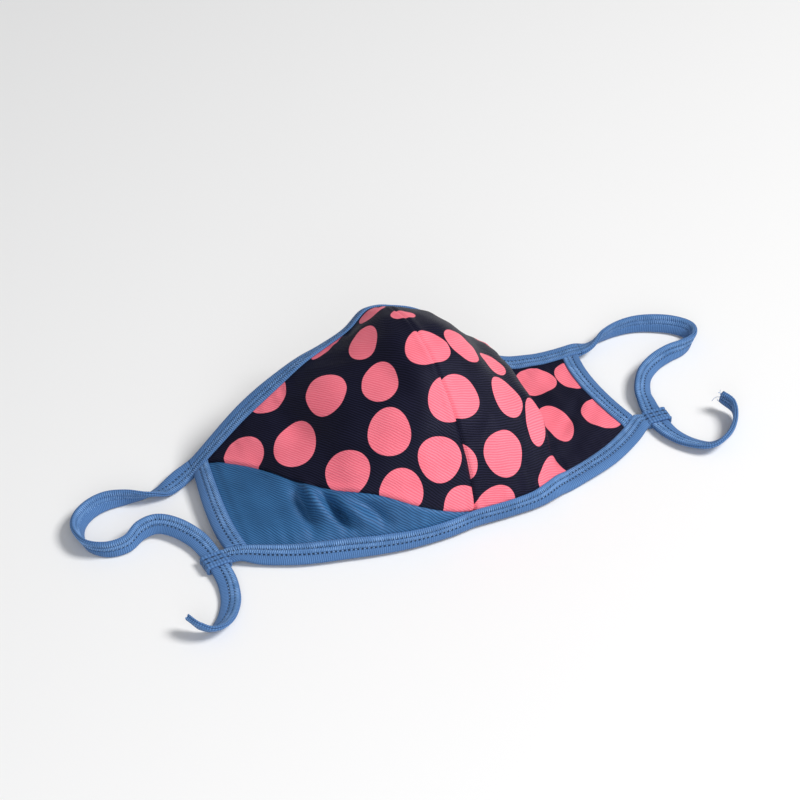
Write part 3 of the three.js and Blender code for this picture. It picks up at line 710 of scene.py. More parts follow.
@dataclass(frozen=True)
class ClothFinish:
    """A ribbed stretch cloth, plain or with printed dots, with painted shade in its rib valleys."""

    name: str
    # The colour in the rib valleys, with painted shade; lit is the colour of the lit rib tops.
    valley_shade: tuple[float, float, float]
    lit: tuple[float, float, float]
    ink: Ink | None
    turn: float
    rib_pitch: float = 1.15
    rib_depth: float = 0.16
    roughness: float = 0.46
    gloss: float = 0.12
    sheen: float = 0.0
    sheen_tint: tuple[float, float, float] = (0.62, 0.68, 1.0)
    gloss_tint: tuple[float, float, float] = (0.72, 0.72, 1.0)

    def material(self) -> bpy.types.Material:
        """Builds the material, which reads the cloth's flat places in millimetres."""
        made = bpy.data.materials.new(self.name)
        made.use_nodes = True
        made.node_tree.nodes.clear()
        board = NodeBoard(made.node_tree)
        place = board.add("ShaderNodeAttribute", attribute_name="lay").outputs["Vector"]
        ribs = board.add("ShaderNodeGroup", node_tree=GROUPS["ribs"])
        board.tree.links.new(place, ribs.inputs["Place"])
        ribs.inputs["Pitch"].default_value = self.rib_pitch
        ribs.inputs["Turn"].default_value = self.turn
        mottle = board.add("ShaderNodeGroup", node_tree=GROUPS["mottle"])
        board.tree.links.new(place, mottle.inputs["Place"])
        # Painted shade: the colour darkens from the lit rib tops to the rib valleys, and a random broad
        # mottle varies it.
        broad = board.step(mottle.outputs["Tone"], 0.3, 0.7, 0.75, 1.0)
        tone = board.math("MULTIPLY", ribs.outputs["Tone"], broad)
        colour = board.mix(tone, (*self.valley_shade, 1), (*self.lit, 1))
        if self.ink:
            edge = board.add("ShaderNodeAttribute", attribute_name="dot").outputs["Fac"]
            edge = board.math("ADD", edge, board.math("MULTIPLY", mottle.outputs["Fuzz"], 0.25))
            inside = board.step(edge, 0.0, 0.25, 1.0, 0.0)
            # The dots get the same painted shade in the rib valleys.
            ink = board.mix(tone, (*self.ink.deep, 1), (*self.ink.lit, 1))
            colour = board.mix(inside, colour, ink)
        fuzz = board.math("MULTIPLY", mottle.outputs["Fuzz"], 0.35)
        height = board.math("ADD", ribs.outputs["Height"], fuzz)
        relief = {"Height": height, "Strength": 0.9, "Distance": self.rib_depth * MM}
        bump = board.add("ShaderNodeBump", relief)
        rough = board.step(mottle.outputs["Fuzz"], 0.2, 0.8, self.roughness - 0.06, self.roughness + 0.08)
        inputs = {
            "Base Color": colour, "Roughness": rough, "Normal": bump.outputs[0], "Sheen Weight": self.sheen,
            "Sheen Roughness": 0.3, "Sheen Tint": (*self.sheen_tint, 1), "Specular IOR Level": self.gloss,
            "Specular Tint": (*self.gloss_tint, 1),
        }
        shader = board.add("ShaderNodeBsdfPrincipled", inputs)
        board.add("ShaderNodeOutputMaterial", {"Surface": shader.outputs[0]})
        return made


@dataclass(frozen=True)
class TapeFinish:
    """Knitted binding tape with fine cross ribs and two rows of needle holes, with painted shade in its rib
    valleys, stitch lines and needle holes.
    """

    name: str
    deep: tuple[float, float, float]
    lit: tuple[float, float, float]
    rows: tuple[float, float]
    stitch_pitch: float
    rib_pitch: float = 0.95
    roughness: float = 0.7

    def material(self) -> bpy.types.Material:
        """Builds the material, which reads places along and across the tape in millimetres."""
        made = bpy.data.materials.new(self.name)
        made.use_nodes = True
        made.node_tree.nodes.clear()
        board = NodeBoard(made.node_tree)
        place = board.add("ShaderNodeAttribute", attribute_name="lay").outputs["Vector"]
        ribs = board.add("ShaderNodeGroup", node_tree=GROUPS["ribs"])
        board.tree.links.new(place, ribs.inputs["Place"])
        for key, value in {"Pitch": self.rib_pitch, "Turn": 90.0, "Loop Length": 0.6, "Waver": 0.12}.items():
            ribs.inputs[key].default_value = value
        mottle = board.add("ShaderNodeGroup", node_tree=GROUPS["mottle"])
        board.tree.links.new(place, mottle.inputs["Place"])
        holes, lines = [], []
        for row in self.rows:
            needle = board.add("ShaderNodeGroup", node_tree=GROUPS["needle"])
            board.tree.links.new(place, needle.inputs["Place"])
            needle.inputs["Row"].default_value = row
            needle.inputs["Pitch"].default_value = self.stitch_pitch
            holes.append(needle.outputs["Hole"])
            lines.append(needle.outputs["Line"])
        hole = board.math("MAXIMUM", *holes)
        line = board.math("MAXIMUM", *lines)
        broad = board.step(mottle.outputs["Tone"], 0.3, 0.7, 0.7, 1.0)
        # Painted shade: darker in the rib valleys and, by half, along the sunk stitch lines.
        tone = board.math("MULTIPLY", ribs.outputs["Tone"], broad)
        tone = board.math("MULTIPLY", tone, board.math("SUBTRACT", 1.0, board.math("MULTIPLY", line, 0.5)))
        colour = board.mix(tone, (*self.deep, 1), (*self.lit, 1))
        # Painted shade in the needle holes: they are mixed towards a far darker blue.
        hole_shade = tuple(0.22 * c for c in self.deep)
        colour = board.mix(board.math("MULTIPLY", hole, 0.9), colour, (*hole_shade, 1))
        fuzz = board.math("MULTIPLY", mottle.outputs["Fuzz"], 0.4)
        height = board.math("ADD", ribs.outputs["Height"], fuzz)
        height = board.math("SUBTRACT", height, board.math("MULTIPLY", hole, 2.0))
        bump = board.add("ShaderNodeBump", {"Height": height, "Strength": 0.9, "Distance": 0.16 * MM})
        rough = board.step(mottle.outputs["Fuzz"], 0.2, 0.8, self.roughness - 0.05, self.roughness + 0.1)
        inputs = {
            "Base Color": colour, "Roughness": rough, "Normal": bump.outputs[0], "Sheen Weight": 0.12,
            "Sheen Roughness": 0.4, "Specular IOR Level": 0.12,
        }
        shader = board.add("ShaderNodeBsdfPrincipled", inputs)
        board.add("ShaderNodeOutputMaterial", {"Surface": shader.outputs[0]})
        return made


@dataclass(frozen=True)
class ThreadFinish:
    """Sewing thread, with the turns of its ply."""

    name: str
    deep: tuple[float, float, float]
    lit: tuple[float, float, float]

    def material(self) -> bpy.types.Material:
        """Builds the material, which reads Object coordinates."""
        made = bpy.data.materials.new(self.name)
        made.use_nodes = True
        made.node_tree.nodes.clear()
        board = NodeBoard(made.node_tree)
        place = board.add("ShaderNodeTexCoord").outputs["Object"]
        mottle = board.add("ShaderNodeGroup", node_tree=GROUPS["mottle"])
        board.tree.links.new(place, mottle.inputs["Place"])
        mottle.inputs["Broad Scale"].default_value = 180.0
        mottle.inputs["Fuzz Scale"].default_value = 3000.0
        colour = board.mix(board.step(mottle.outputs["Tone"], 0.3, 0.7), (*self.deep, 1), (*self.lit, 1))
        relief = {"Height": mottle.outputs["Fuzz"], "Strength": 0.5, "Distance": 0.05 * MM}
        bump = board.add("ShaderNodeBump", relief).outputs[0]
        inputs = {"Base Color": colour, "Roughness": 0.6, "Normal": bump, "Specular IOR Level": 0.2}
        shader = board.add("ShaderNodeBsdfPrincipled", inputs)
        board.add("ShaderNodeOutputMaterial", {"Surface": shader.outputs[0]})
        return made


GROUPS = {"ribs": knit_ribs_group(), "mottle": mottle_group(), "needle": needle_row_group()}


@dataclass(frozen=True)
class TapeShape:
    """The cross section of the folded tape, whose folded edge lies at 0 and sewn edge at its width."""

    width: float
    rows: tuple[float, float] = (4.35, 6.95)
    fold: float = 1.3
    leaf_width: float = 9.5

    # Height of a leaf over its inner side at each distance from the folded edge, for a leaf of that width.
    leaf: tuple[tuple[float, float], ...] = (
        (1.30, 0.97), (2.20, 1.06), (3.10, 1.05), (3.75, 0.97), (4.10, 0.80), (4.35, 0.66), (4.60, 0.80),
        (5.10, 0.95), (5.65, 0.99), (6.25, 0.95), (6.70, 0.80), (6.95, 0.66), (7.20, 0.80), (7.80, 0.97),
        (8.70, 0.97), (9.20, 0.78),
    )

    def outline(self) -> tuple[np.ndarray, np.ndarray, np.ndarray, np.ndarray]:
        """The outline of the folded tape, all round.

        Returns:
            Distance from the fold, height above the slit's side, the side (1 above, -1 below, between at the
            fold), and the place across for the finish, below zero on the underside.
        """
        rows = np.array(self.leaf)
        x, h = rows[:, 0].copy(), rows[:, 1]
        widen = (self.width - self.fold) / (self.leaf_width - self.fold)
        x = np.where(x > self.fold, self.fold + (x - self.fold) * widen, x)
        turn = np.radians(np.array([0, 18, 36, 54, 72]))
        top_x = np.concatenate([self.fold * (1 - np.cos(turn)), x, [self.width - 0.02]])
        top_h = np.concatenate([h[0] * np.sin(turn), h, [0.3]])
        top_s = np.concatenate([np.sin(turn), np.ones(len(x) + 1)])
        inner_x = np.array([self.width - 0.2, self.width * 0.7, self.width * 0.4, 1.1])
        xs = np.concatenate([top_x, inner_x, inner_x[::-1], top_x[:0:-1]])
        hs = np.concatenate([top_h, 0 * inner_x, 0 * inner_x, -top_h[:0:-1]])
        ss = np.concatenate([top_s, 1 + 0 * inner_x, -1 + 0 * inner_x, -top_s[:0:-1]])
        return xs, hs, ss, np.where(ss + hs >= 0, xs, -xs)

    def index(self, distance: float) -> tuple[int, int]:
        """The outline's points nearest to a distance, on the upper and on the under side."""
        xs, hs, _, _ = self.outline()
        upper = np.where(hs > 0.25, np.abs(xs - distance), 99.0)
        under = np.where(hs < -0.25, np.abs(xs - distance), 99.0)
        return int(np.argmin(upper)), int(np.argmin(under))


@dataclass
class TapeRun:
    """A length of folded tape as rings of points, ready to be cut into pieces."""

    shape: TapeShape
    rings: np.ndarray
    start: float = 0.0

    def lengths(self) -> np.ndarray:
        """How far each ring lies along the run."""
        middle = self.rings.mean(1)
        steps = np.linalg.norm(np.diff(middle, axis=0), axis=-1)
        return self.start + np.concatenate([[0.0], np.cumsum(steps)])

    def cut(self, first: int, last: int) -> "TapeRun":
        """The part of the run between two rings, both in."""
        return TapeRun(self.shape, self.rings[first : last + 1], float(self.lengths()[first]))

    def build(self, name: str) -> bpy.types.Object:
        """The tape's mesh, with its places along and across as the attribute lay."""
        rings, count = self.rings.shape[:2]
        across = np.broadcast_to(self.shape.outline()[3], (rings, count))
        along = np.broadcast_to(self.lengths()[:, None], (rings, count))
        lay = np.stack([along, across, np.zeros_like(along)], -1).reshape(-1, 3)
        return make_object(name, self.rings.reshape(-1, 3), ring_faces(rings, count), {"lay": lay})

    def line(self, distance: float, lift: float, under: bool = False) -> tuple[np.ndarray, np.ndarray]:
        """A line along the run's upper or under side.

        Args:
            distance: From the folded edge.
            lift: Above the surface.
            under: Whether it lies on the under side.

        Returns:
            The line's points and the surface's normals there.
        """
        top, below = self.shape.index(distance)
        up = unit(self.rings[:, top] - self.rings[:, below])
        base = self.rings[:, below] if under else self.rings[:, top]
        up = -up if under else up
        return base + up * lift, up


@dataclass
class EdgeTape:
    """The folded tape on the mask's edges."""

    left: CupHalf
    right: CupHalf
    shape: TapeShape = field(default_factory=lambda: TapeShape(SIZES.tape_width))
    pace: float = 1.0

    @property
    def slit(self) -> float:
        """Half the gap between the leaves, which the cloth fills."""
        return SIZES.panel_wall / 2 + 0.12

    def rings(self, half: CupHalf, edge: Edge, places: np.ndarray) -> np.ndarray:
        """Rings of tape at places along an edge of a half.

        Args:
            half: The half whose edge is bound.
            edge: Which edge.
            places: Out shares on the chin and nose edges, back shares on the side edge.

        Returns:
            The rings' points.
        """
        xs, hs, ss, _ = self.shape.outline()
        at, inset = np.meshgrid(places, xs, indexing="ij")
        if edge is Edge.SIDE:
            out, back = 1 - inset / half.side_pace(at), at
        else:
            share = inset / half.length(at)
            out, back = at, (share if edge is Edge.CHIN else 1 - share)
        off = ss * self.slit + hs
        return half.point(out, back) + half.normal(out, back) * off[None, :, None]

    def half_run(self, half: CupHalf, edge: Edge) -> np.ndarray:
        """Rings at an even pace from the seam to the side edge of a half."""
        fine = np.linspace(0, 1, 200)
        ends = half.point(fine, np.zeros(200) if edge is Edge.CHIN else np.ones(200))
        way = np.concatenate([[0], np.cumsum(np.linalg.norm(np.diff(ends, axis=0), axis=-1))])
        count = round(way[-1] / self.pace)
        return self.rings(half, edge, np.interp(np.linspace(0, way[-1], count + 1), way, fine))

    def across_seam(self, edge: Edge) -> tuple[np.ndarray, int]:
        """Rings from the left corner over the seam to the right corner, and the seam's ring."""
        left, right = self.half_run(self.left, edge), self.half_run(self.right, edge)
        rings = np.concatenate([left[:0:-1], right])
        return softened(rings, len(left) - 1, 5), len(left) - 1

    def side_run(self, half: CupHalf) -> TapeRun:
        """The tape of a side edge, whose ends run under the tapes of the chin and nose."""
        length = float(half.length(np.array([1.0]))[0])
        tuck = 1.2 / length
        low, high = SIZES.tape_width / length - tuck, 1 - SIZES.tape_width / length + tuck
        places = np.linspace(low, high, round((high - low) * length / self.pace) + 1)
        rings = self.rings(half, Edge.SIDE, places)
        middle = self.rings_middle(half, places)
        near = np.minimum(places - low, high - places) * length
        flat = ease(near, 0.4, 2.0)[:, None, None] * 0.55 + 0.45
        return TapeRun(self.shape, middle + (rings - middle) * flat)

    def rings_middle(self, half: CupHalf, places: np.ndarray) -> np.ndarray:
        """The points of the side tape's rings brought onto the middle of the cloth."""
        xs = self.shape.outline()[0]
        at, inset = np.meshgrid(places, xs, indexing="ij")
        return half.point(1 - inset / half.side_pace(at), at)


@dataclass
class EarStrap:
    """An ear strap: tape folded flat, from its upper corner round the loop to the tail's end."""

    half: CupHalf
    table: np.ndarray
    keeper_row: int
    tip: float = 1.0
    shape: TapeShape = field(default_factory=lambda: TapeShape(SIZES.strap_width))
    pace: float = 1.0

    def corners(self) -> tuple[np.ndarray, np.ndarray]:
        """Where the strap leaves the nose tape, and the middle of its keeper."""
        side = self.half.side.value
        length = self.half.length(np.ones(1))[0]
        insets = np.array([0, SIZES.tape_leaf + SIZES.fit, SIZES.tape_width / 2, SIZES.tape_width]) / length
        high = self.half.point(np.ones(4), 1 - insets)
        low = self.half.point(np.ones(4), insets)
        start = np.array([side * ((side * high[:, 0]).max() + 2 * SIZES.fit), high[2, 1], 0])
        clear = (side * low[:, 0]).max() + 2 * SIZES.fit + SIZES.keeper_wall + SIZES.strap_width / 2
        web = SIZES.tape_leaf + SIZES.fit
        return start, np.array([side * clear, low[1, 1] + SIZES.keeper_length / 2 - web, 0])

    def way(self, t: np.ndarray) -> tuple[np.ndarray, np.ndarray, np.ndarray, np.ndarray]:
        """The strap's middle, direction, width direction and thickness direction at shares of its way.

        Args:
            t: Shares of the way, even between the table's rows.

        Returns:
            Points, tangents, width directions and thickness directions.
        """
        side = self.half.side.value
        start, held = self.corners()
        out, down, lift, lean = self.table.T
        turn = np.radians(lean)
        rest = (SIZES.strap_width * np.abs(np.sin(turn)) + SIZES.strap_thickness * np.abs(np.cos(turn))) / 2
        reach = side * (out - out[self.keeper_row] * down) * SIZES.strap_reach
        rows = np.stack([
            start[0] + (held[0] - start[0]) * down + reach,
            start[1] + (held[1] - start[1]) * down,
            rest + lift * SIZES.strap_width,
            lean,
        ], -1)
        padded = np.concatenate([[2 * rows[0] - rows[1]], rows, [2 * rows[-1] - rows[-2]]])
        place = np.clip(t, 0, 1) * (len(rows) - 1)
        k = np.minimum(place.astype(int), len(rows) - 2)
        u = (place - k)[:, None]
        p0, p1, p2, p3 = (padded[k + i] for i in range(4))
        m1, m2 = (p2 - p0) / 2, (p3 - p1) / 2
        value = (2 * u**3 - 3 * u**2 + 1) * p1 + (u**3 - 2 * u**2 + u) * m1
        value = value + (-2 * u**3 + 3 * u**2) * p2 + (u**3 - u**2) * m2
        slope = (6 * u**2 - 6 * u) * p1 + (3 * u**2 - 4 * u + 1) * m1
        slope = slope + (-6 * u**2 + 6 * u) * p2 + (3 * u**2 - 2 * u) * m2
        tangent = unit(slope[:, :3])
        inward = unit(np.cross(np.array([0, 0, -side]), tangent))
        upward = np.cross(inward, tangent) * side
        upward = np.where(upward[:, 2:] < 0, -upward, upward)
        angle = np.radians(value[:, 3:])
        width = inward * np.cos(angle) + upward * np.sin(angle)
        thick = -inward * np.sin(angle) + upward * np.cos(angle)
        return value[:, :3], tangent, width, thick

    def even_places(self) -> np.ndarray:
        """Shares of the way at an even pace in millimetres."""
        fine = np.linspace(0, 1, 1200)
        points = self.way(fine)[0]
        along = np.concatenate([[0], np.cumsum(np.linalg.norm(np.diff(points, axis=0), axis=-1))])
        return np.interp(np.linspace(0, along[-1], round(along[-1] / self.pace) + 1), along, fine)

    def rings(self) -> np.ndarray:
        """The strap's rings, its leaves lying on each other."""
        xs, hs, ss, _ = self.shape.outline()
        point, _, width, thick = self.way(self.even_places())
        off = ss * 0.09 + hs * 0.95
        left_over = (len(point) - 1 - np.arange(len(point))) * self.pace
        narrow = self.tip + (1 - self.tip) * ease(left_over, 0.0, 6.0)
        across = (xs - self.shape.width / 2)[None, :] * narrow[:, None]
        return point[:, None] + width[:, None] * across[..., None] + thick[:, None] * off[None, :, None]


@dataclass
class Coverstitch:
    """Two rows of needle stitches and the looper threads between them, laid along a tape."""

    pitch: float
    thread: float = 0.34

    def tree(self) -> bpy.types.GeometryNodeTree:
        """Builds the tree that lays stitches along the edges of a guide mesh.

        Returns:
            The tree, whose inputs are named sizes in metres, an angle, a seed and the thread's material.
        """
        tree = bpy.data.node_groups.new("coverstitch_row", "GeometryNodeTree")
        tree.interface.new_socket("Guide", in_out="INPUT", socket_type="NodeSocketGeometry")
        for key in ("Pitch", "Stitch Length", "Thread Width", "Thread Height", "Turn", "Waver"):
            tree.interface.new_socket(key, in_out="INPUT", socket_type="NodeSocketFloat")
        tree.interface.new_socket("Seed", in_out="INPUT", socket_type="NodeSocketInt")
        tree.interface.new_socket("Thread", in_out="INPUT", socket_type="NodeSocketMaterial")
        tree.interface.new_socket("Stitches", in_out="OUTPUT", socket_type="NodeSocketGeometry")
        board = NodeBoard(tree)
        got = {s.name: s for s in board.add("NodeGroupInput").outputs if s.name}
        curve = board.add("GeometryNodeMeshToCurve", {"Mesh": got["Guide"]}).outputs[0]
        even = {"Curve": curve, "Length": got["Pitch"]}
        row = board.add("GeometryNodeResampleCurve", even, mode="LENGTH").outputs[0]
        named = {"Name": "up"}
        up = board.add("GeometryNodeInputNamedAttribute", named, data_type="FLOAT_VECTOR").outputs[0]
        along = board.add("GeometryNodeInputTangent").outputs[0]
        axes = {"Primary Axis": up, "Secondary Axis": along}
        facing = board.add("FunctionNodeAxesToRotation", axes, primary_axis="Z", secondary_axis="X")
        low = board.math("MULTIPLY", got["Waver"], -1.0)
        chance = {"Min": low, "Max": got["Waver"], "Seed": got["Seed"]}
        waver = board.add("FunctionNodeRandomValue", chance, data_type="FLOAT")
        spread = [s for s in waver.outputs if s.enabled][0]
        angle = board.math("ADD", got["Turn"], spread)
        euler = board.add("ShaderNodeCombineXYZ", {2: angle}).outputs[0]
        turn = board.add("FunctionNodeEulerToRotation", {0: euler}).outputs[0]
        turns = {0: facing.outputs[0], 1: turn}
        turned = board.add("FunctionNodeRotateRotation", turns, rotation_space="LOCAL").outputs[0]
        bead = board.add("GeometryNodeMeshIcoSphere", {"Radius": 0.5, "Subdivisions": 2}).outputs[0]
        size = {0: got["Stitch Length"], 1: got["Thread Width"], 2: got["Thread Height"]}
        scale = board.add("ShaderNodeCombineXYZ", size).outputs[0]
        laid = {"Points": row, "Instance": bead, "Rotation": turned, "Scale": scale}
        laid = board.add("GeometryNodeInstanceOnPoints", laid).outputs[0]
        real = board.add("GeometryNodeRealizeInstances", {0: laid}).outputs[0]
        smooth = board.add("GeometryNodeSetShadeSmooth", {"Geometry": real}).outputs[0]
        threads = {"Geometry": smooth, "Material": got["Thread"]}
        dressed = board.add("GeometryNodeSetMaterial", threads).outputs[0]
        board.add("NodeGroupOutput", {0: dressed})
        return tree

    def sew(self, name: str, lines: list, tree: bpy.types.GeometryNodeTree, sizes: dict[str, float],
            thread: bpy.types.Material) -> bpy.types.Object:
        """Lays one kind of stitch along lines and makes the result a plain mesh.

        Args:
            name: The piece's name.
            lines: Pairs of points and normals, in millimetres.
            tree: The coverstitch tree.
            sizes: The tree's inputs by name.
            thread: The thread's material.

        Returns:
            The stitches' object.
        """
        points = np.concatenate([p for p, _ in lines])
        ups = np.concatenate([u for _, u in lines])
        edges, start = [], 0
        for p, _ in lines:
            edges += [(start + i, start + i + 1) for i in range(len(p) - 1)]
            start += len(p)
        mesh = bpy.data.meshes.new(name + "_guide")
        mesh.from_pydata(((points + SEAM_FOOT) * MM).tolist(), edges, [])
        layer = mesh.attributes.new("up", "FLOAT_VECTOR", "POINT")
        layer.data.foreach_set("vector", ups.astype("f4").ravel())
        guide = bpy.data.objects.new(name, mesh)
        bpy.context.collection.objects.link(guide)
        modifier = guide.modifiers.new("stitches", "NODES")
        modifier.node_group = tree
        values = {**sizes, "Thread": thread, "Seed": 7}
        for item in tree.interface.items_tree:
            if item.in_out == "INPUT" and item.name in values:
                modifier[item.identifier] = values[item.name]
        shown = guide.evaluated_get(bpy.context.evaluated_depsgraph_get())
        plain = bpy.data.meshes.new_from_object(shown)
        guide.modifiers.remove(modifier)
        plain.name = name
        for layer_name in [a.name for a in plain.attributes if a.name == "up"]:
            plain.attributes.remove(plain.attributes[layer_name])
        guide.data = plain
        bpy.data.meshes.remove(mesh)
        return guide

    def dress(self, name: str, runs: list[TapeRun], tree: bpy.types.GeometryNodeTree,
              thread: bpy.types.Material, under: bool) -> bpy.types.Object:
        """Sews both needle rows and the looper threads of some runs and joins them into one piece."""
        rows = runs[0].shape.rows
        sides = [False, True] if under else [False]
        needle = [run.line(row, 0.02, side) for run in runs for row in rows for side in sides]
        width = runs[0].shape.width
        middle = [run.line(sum(rows) / 2, -0.02, side) for run in runs for side in sides]
        edge = [run.line((rows[1] + width) / 2, 0.0, side) for run in runs for side in sides]
        flat = {"Pitch": self.pitch * MM, "Stitch Length": self.pitch * 0.6 * MM,
                "Thread Width": self.thread * MM, "Thread Height": self.thread * 0.8 * MM,
                "Turn": 0.0, "Waver": 0.06}
        cross = {"Pitch": self.pitch * 0.5 * MM, "Stitch Length": (rows[1] - rows[0]) * 0.80 * MM,
                 "Thread Width": self.thread * 1.25 * MM, "Thread Height": self.thread * MM,
                 "Turn": math.radians(74), "Waver": 0.16}
        bound = {"Pitch": self.pitch * 0.5 * MM, "Stitch Length": (width - rows[1]) * 0.9 * MM,
                 "Thread Width": self.thread * 1.5 * MM, "Thread Height": self.thread * 1.2 * MM,
                 "Turn": math.radians(100), "Waver": 0.12}
        made = [
            self.sew(name, needle, tree, flat, thread),
            self.sew(name + "_looper", middle, tree, cross, thread),
            self.sew(name + "_edge", edge, tree, bound, thread),
        ]
        return joined(made)

    def frayed(self, name: str, ring: np.ndarray, way: np.ndarray, tree: bpy.types.GeometryNodeTree,
               thread: bpy.types.Material) -> bpy.types.Object:
        """Loose threads at a cut end.

        Args:
            name: The threads' name.
            ring: The last ring of the tape.
            way: The direction that the tape ran in.
            tree: The coverstitch tree.
            thread: The thread's material.

        Returns:
            The threads' object.
        """
        lines = []
        share = np.linspace(0, 1, 24)[:, None]
        upward = np.array([0.0, 0.0, 1.0])
        beside = unit(np.cross(way, upward))
        for at, length, curl, lift in LOOSE_THREADS:
            root = ring[round(at * (len(ring) // 2 - 1))]
            bend = beside * curl * share**2 + upward * lift * share**1.6
            points = root + way * length * share * (1 - 0.35 * share) + bend
            lines.append((points, np.broadcast_to(upward, points.shape)))
        sizes = {"Pitch": 0.3 * MM, "Stitch Length": 0.5 * MM, "Thread Width": 0.2 * MM,
                 "Thread Height": 0.2 * MM, "Turn": 0.0, "Waver": 0.0}
        return self.sew(name, lines, tree, sizes, thread)


def reached(rings: np.ndarray, goal: np.ndarray, count: int = 7) -> np.ndarray:
    """A tape's rings with its last end drawn out to a place, as it runs on into a keeper.

    Args:
        rings: The tape's rings.
        goal: Where the middle of its end goes.
        count: How many rings are added.

    Returns:
        The longer run of rings.
    """
    last = rings[-1]
    middle = last.mean(0)
    added = []
    for share in np.linspace(0, 1, count + 1)[1:]:
        shrink = 1 - 0.14 * ease(np.array(share), 0, 1)
        added.append(middle + (last - middle) * shrink + (goal - middle) * share)
    return np.concatenate([rings, np.array(added)])


def joined(parts: list[bpy.types.Object]) -> bpy.types.Object:
    """The parts as one object, the first one."""
    with bpy.context.temp_override(active_object=parts[0], selected_editable_objects=parts):
        bpy.ops.object.join()
    return parts[0]


@dataclass
class ClothPanel:
    """A cloth piece of one half, as a thin slab that follows the cup."""

    half: CupHalf
    name: str
    dots: tuple[PrintedDot, ...] = ()
    columns: int = 190
    rows: int = 150

    def seam_dip(self, distance: np.ndarray) -> np.ndarray:
        """How far the cloth is drawn in beside a seam at a distance."""
        return -0.75 * np.exp(-((distance / 0.9) ** 2)) + 0.16 * np.exp(-(((distance - 2.6) / 1.4) ** 2))

    def ruffle(self, out: np.ndarray, back: np.ndarray, length: np.ndarray) -> np.ndarray:
        """Small puckers beside the tape and soft unevenness over the cup."""
        u, v = out * SIZES.half_width, back * length
        edge = np.minimum(np.minimum(v, length - v), (1 - out) * SIZES.half_width) - SIZES.tape_width
        near = np.exp(-np.maximum(edge, 0) / 7.0) * ease(edge, -1.0, 3.0)
        pull = np.sin(u * 0.83 + 1.7 * np.sin(u * 0.21)) * 0.22 + np.sin(u * 1.27 + 0.6) * 0.12
        broad = np.sin(u * 0.16 + v * 0.11 + 0.5) * np.sin(v * 0.14 - u * 0.05 + 1.1) * 0.34
        fine = np.sin(u * 0.31 - v * 0.23 + 1.3 * np.sin(v * 0.11))
        fine = fine * np.sin(v * 0.27 + u * 0.12 + 0.8) * 0.26
        return near * pull + (broad + fine) * ease(edge, 0.0, 10.0)

    def beside_dot(self, points: np.ndarray, dot: PrintedDot, place: tuple[float, float]) -> np.ndarray:
        """How far points lie outside a printed dot at a place, below zero inside it, in millimetres."""
        out, back = place
        wide, long, turn = dot.half_width, dot.half_length, dot.turn
        centre, across, along, normal = self.half.beyond(out, back)
        way = points - centre
        x, y, z = way @ across, way @ along, way @ normal
        cos, sin = math.cos(math.radians(turn)), math.sin(math.radians(turn))
        x_share, y_share = (x * cos + y * sin) / wide, (y * cos - x * sin) / long
        share = np.sqrt(x_share**2 + y_share**2 + (z / wide) ** 2)
        round_it = np.arctan2(y, x)
        uneven = 0.030 * np.sin(3 * round_it + 19 * out) + 0.028 * np.sin(2 * round_it + 31 * back)
        return (share * (1 + uneven) - 1) * math.sqrt(wide * long)

    def build(
        self, low: np.ndarray, high: np.ndarray, out: np.ndarray, low_seam: bool, high_seam: bool
    ) -> bpy.types.Object:
        """The panel's slab between two lines of the half.

        Args:
            low: The back shares where it begins, one for each out share.
            high: The back shares where it ends.
            out: The out shares of its columns.
            low_seam: Whether its low line is a seam to another piece.
            high_seam: Whether its high line is a seam to another piece.

        Returns:
            The panel's object, with its flat places and its distance from the dots.
        """
        t = np.linspace(0, 1, self.rows)
        grid_out = np.repeat(out[:, None], self.rows, 1)
        grid_back = low[:, None] + (high - low)[:, None] * t
        length = self.half.length(grid_out)
        points = self.half.point(grid_out, grid_back)
        normal = self.half.normal(grid_out, grid_back)
        off = self.ruffle(grid_out, grid_back, length) + self.seam_dip(grid_out * SIZES.half_width)
        if low_seam:
            off = off + self.seam_dip((grid_back - low[:, None]) * length)
        if high_seam:
            off = off + self.seam_dip((high[:, None] - grid_back) * length)
        middle = points + normal * off[..., None]
        lay = np.stack([grid_out * SIZES.half_width, grid_back * length, 0 * length], -1)
        layers = {"lay": lay}
        if self.dots:
            places = self.half.dot_places(self.dots, VIEW)
            beside = [self.beside_dot(points, dot, place) for dot, place in zip(self.dots, places)]
            layers["dot"] = np.min(beside, 0)
        wall = SIZES.panel_wall / 2
        stack = [middle + normal * wall, middle - normal * wall]
        return self.slab(stack, layers)

    def slab(self, stack: list[np.ndarray], layers: dict[str, np.ndarray]) -> bpy.types.Object:
        """A closed mesh from an upper and an under grid."""
        columns, rows = stack[0].shape[:2]
        under = columns * rows
        faces = []
        for i in range(columns - 1):
            for j in range(rows - 1):
                a, b = i * rows + j, (i + 1) * rows + j
                faces.append((a, b, b + 1, a + 1))
                faces.append((a + under, a + 1 + under, b + 1 + under, b + under))
        rim = [i * rows for i in range(columns - 1)] + [(columns - 1) * rows + j for j in range(rows - 1)]
        rim += [i * rows + rows - 1 for i in range(columns - 1, 0, -1)] + [j for j in range(rows - 1, 0, -1)]
        for a, b in zip(rim, rim[1:] + rim[:1]):
            faces.append((a, a + under, b + under, b))
        points = np.concatenate([s.reshape(-1, 3) for s in stack])
        doubled = {k: np.concatenate([v.reshape(under, -1)] * 2).squeeze() for k, v in layers.items()}
        return make_object(self.name, points, faces, doubled)


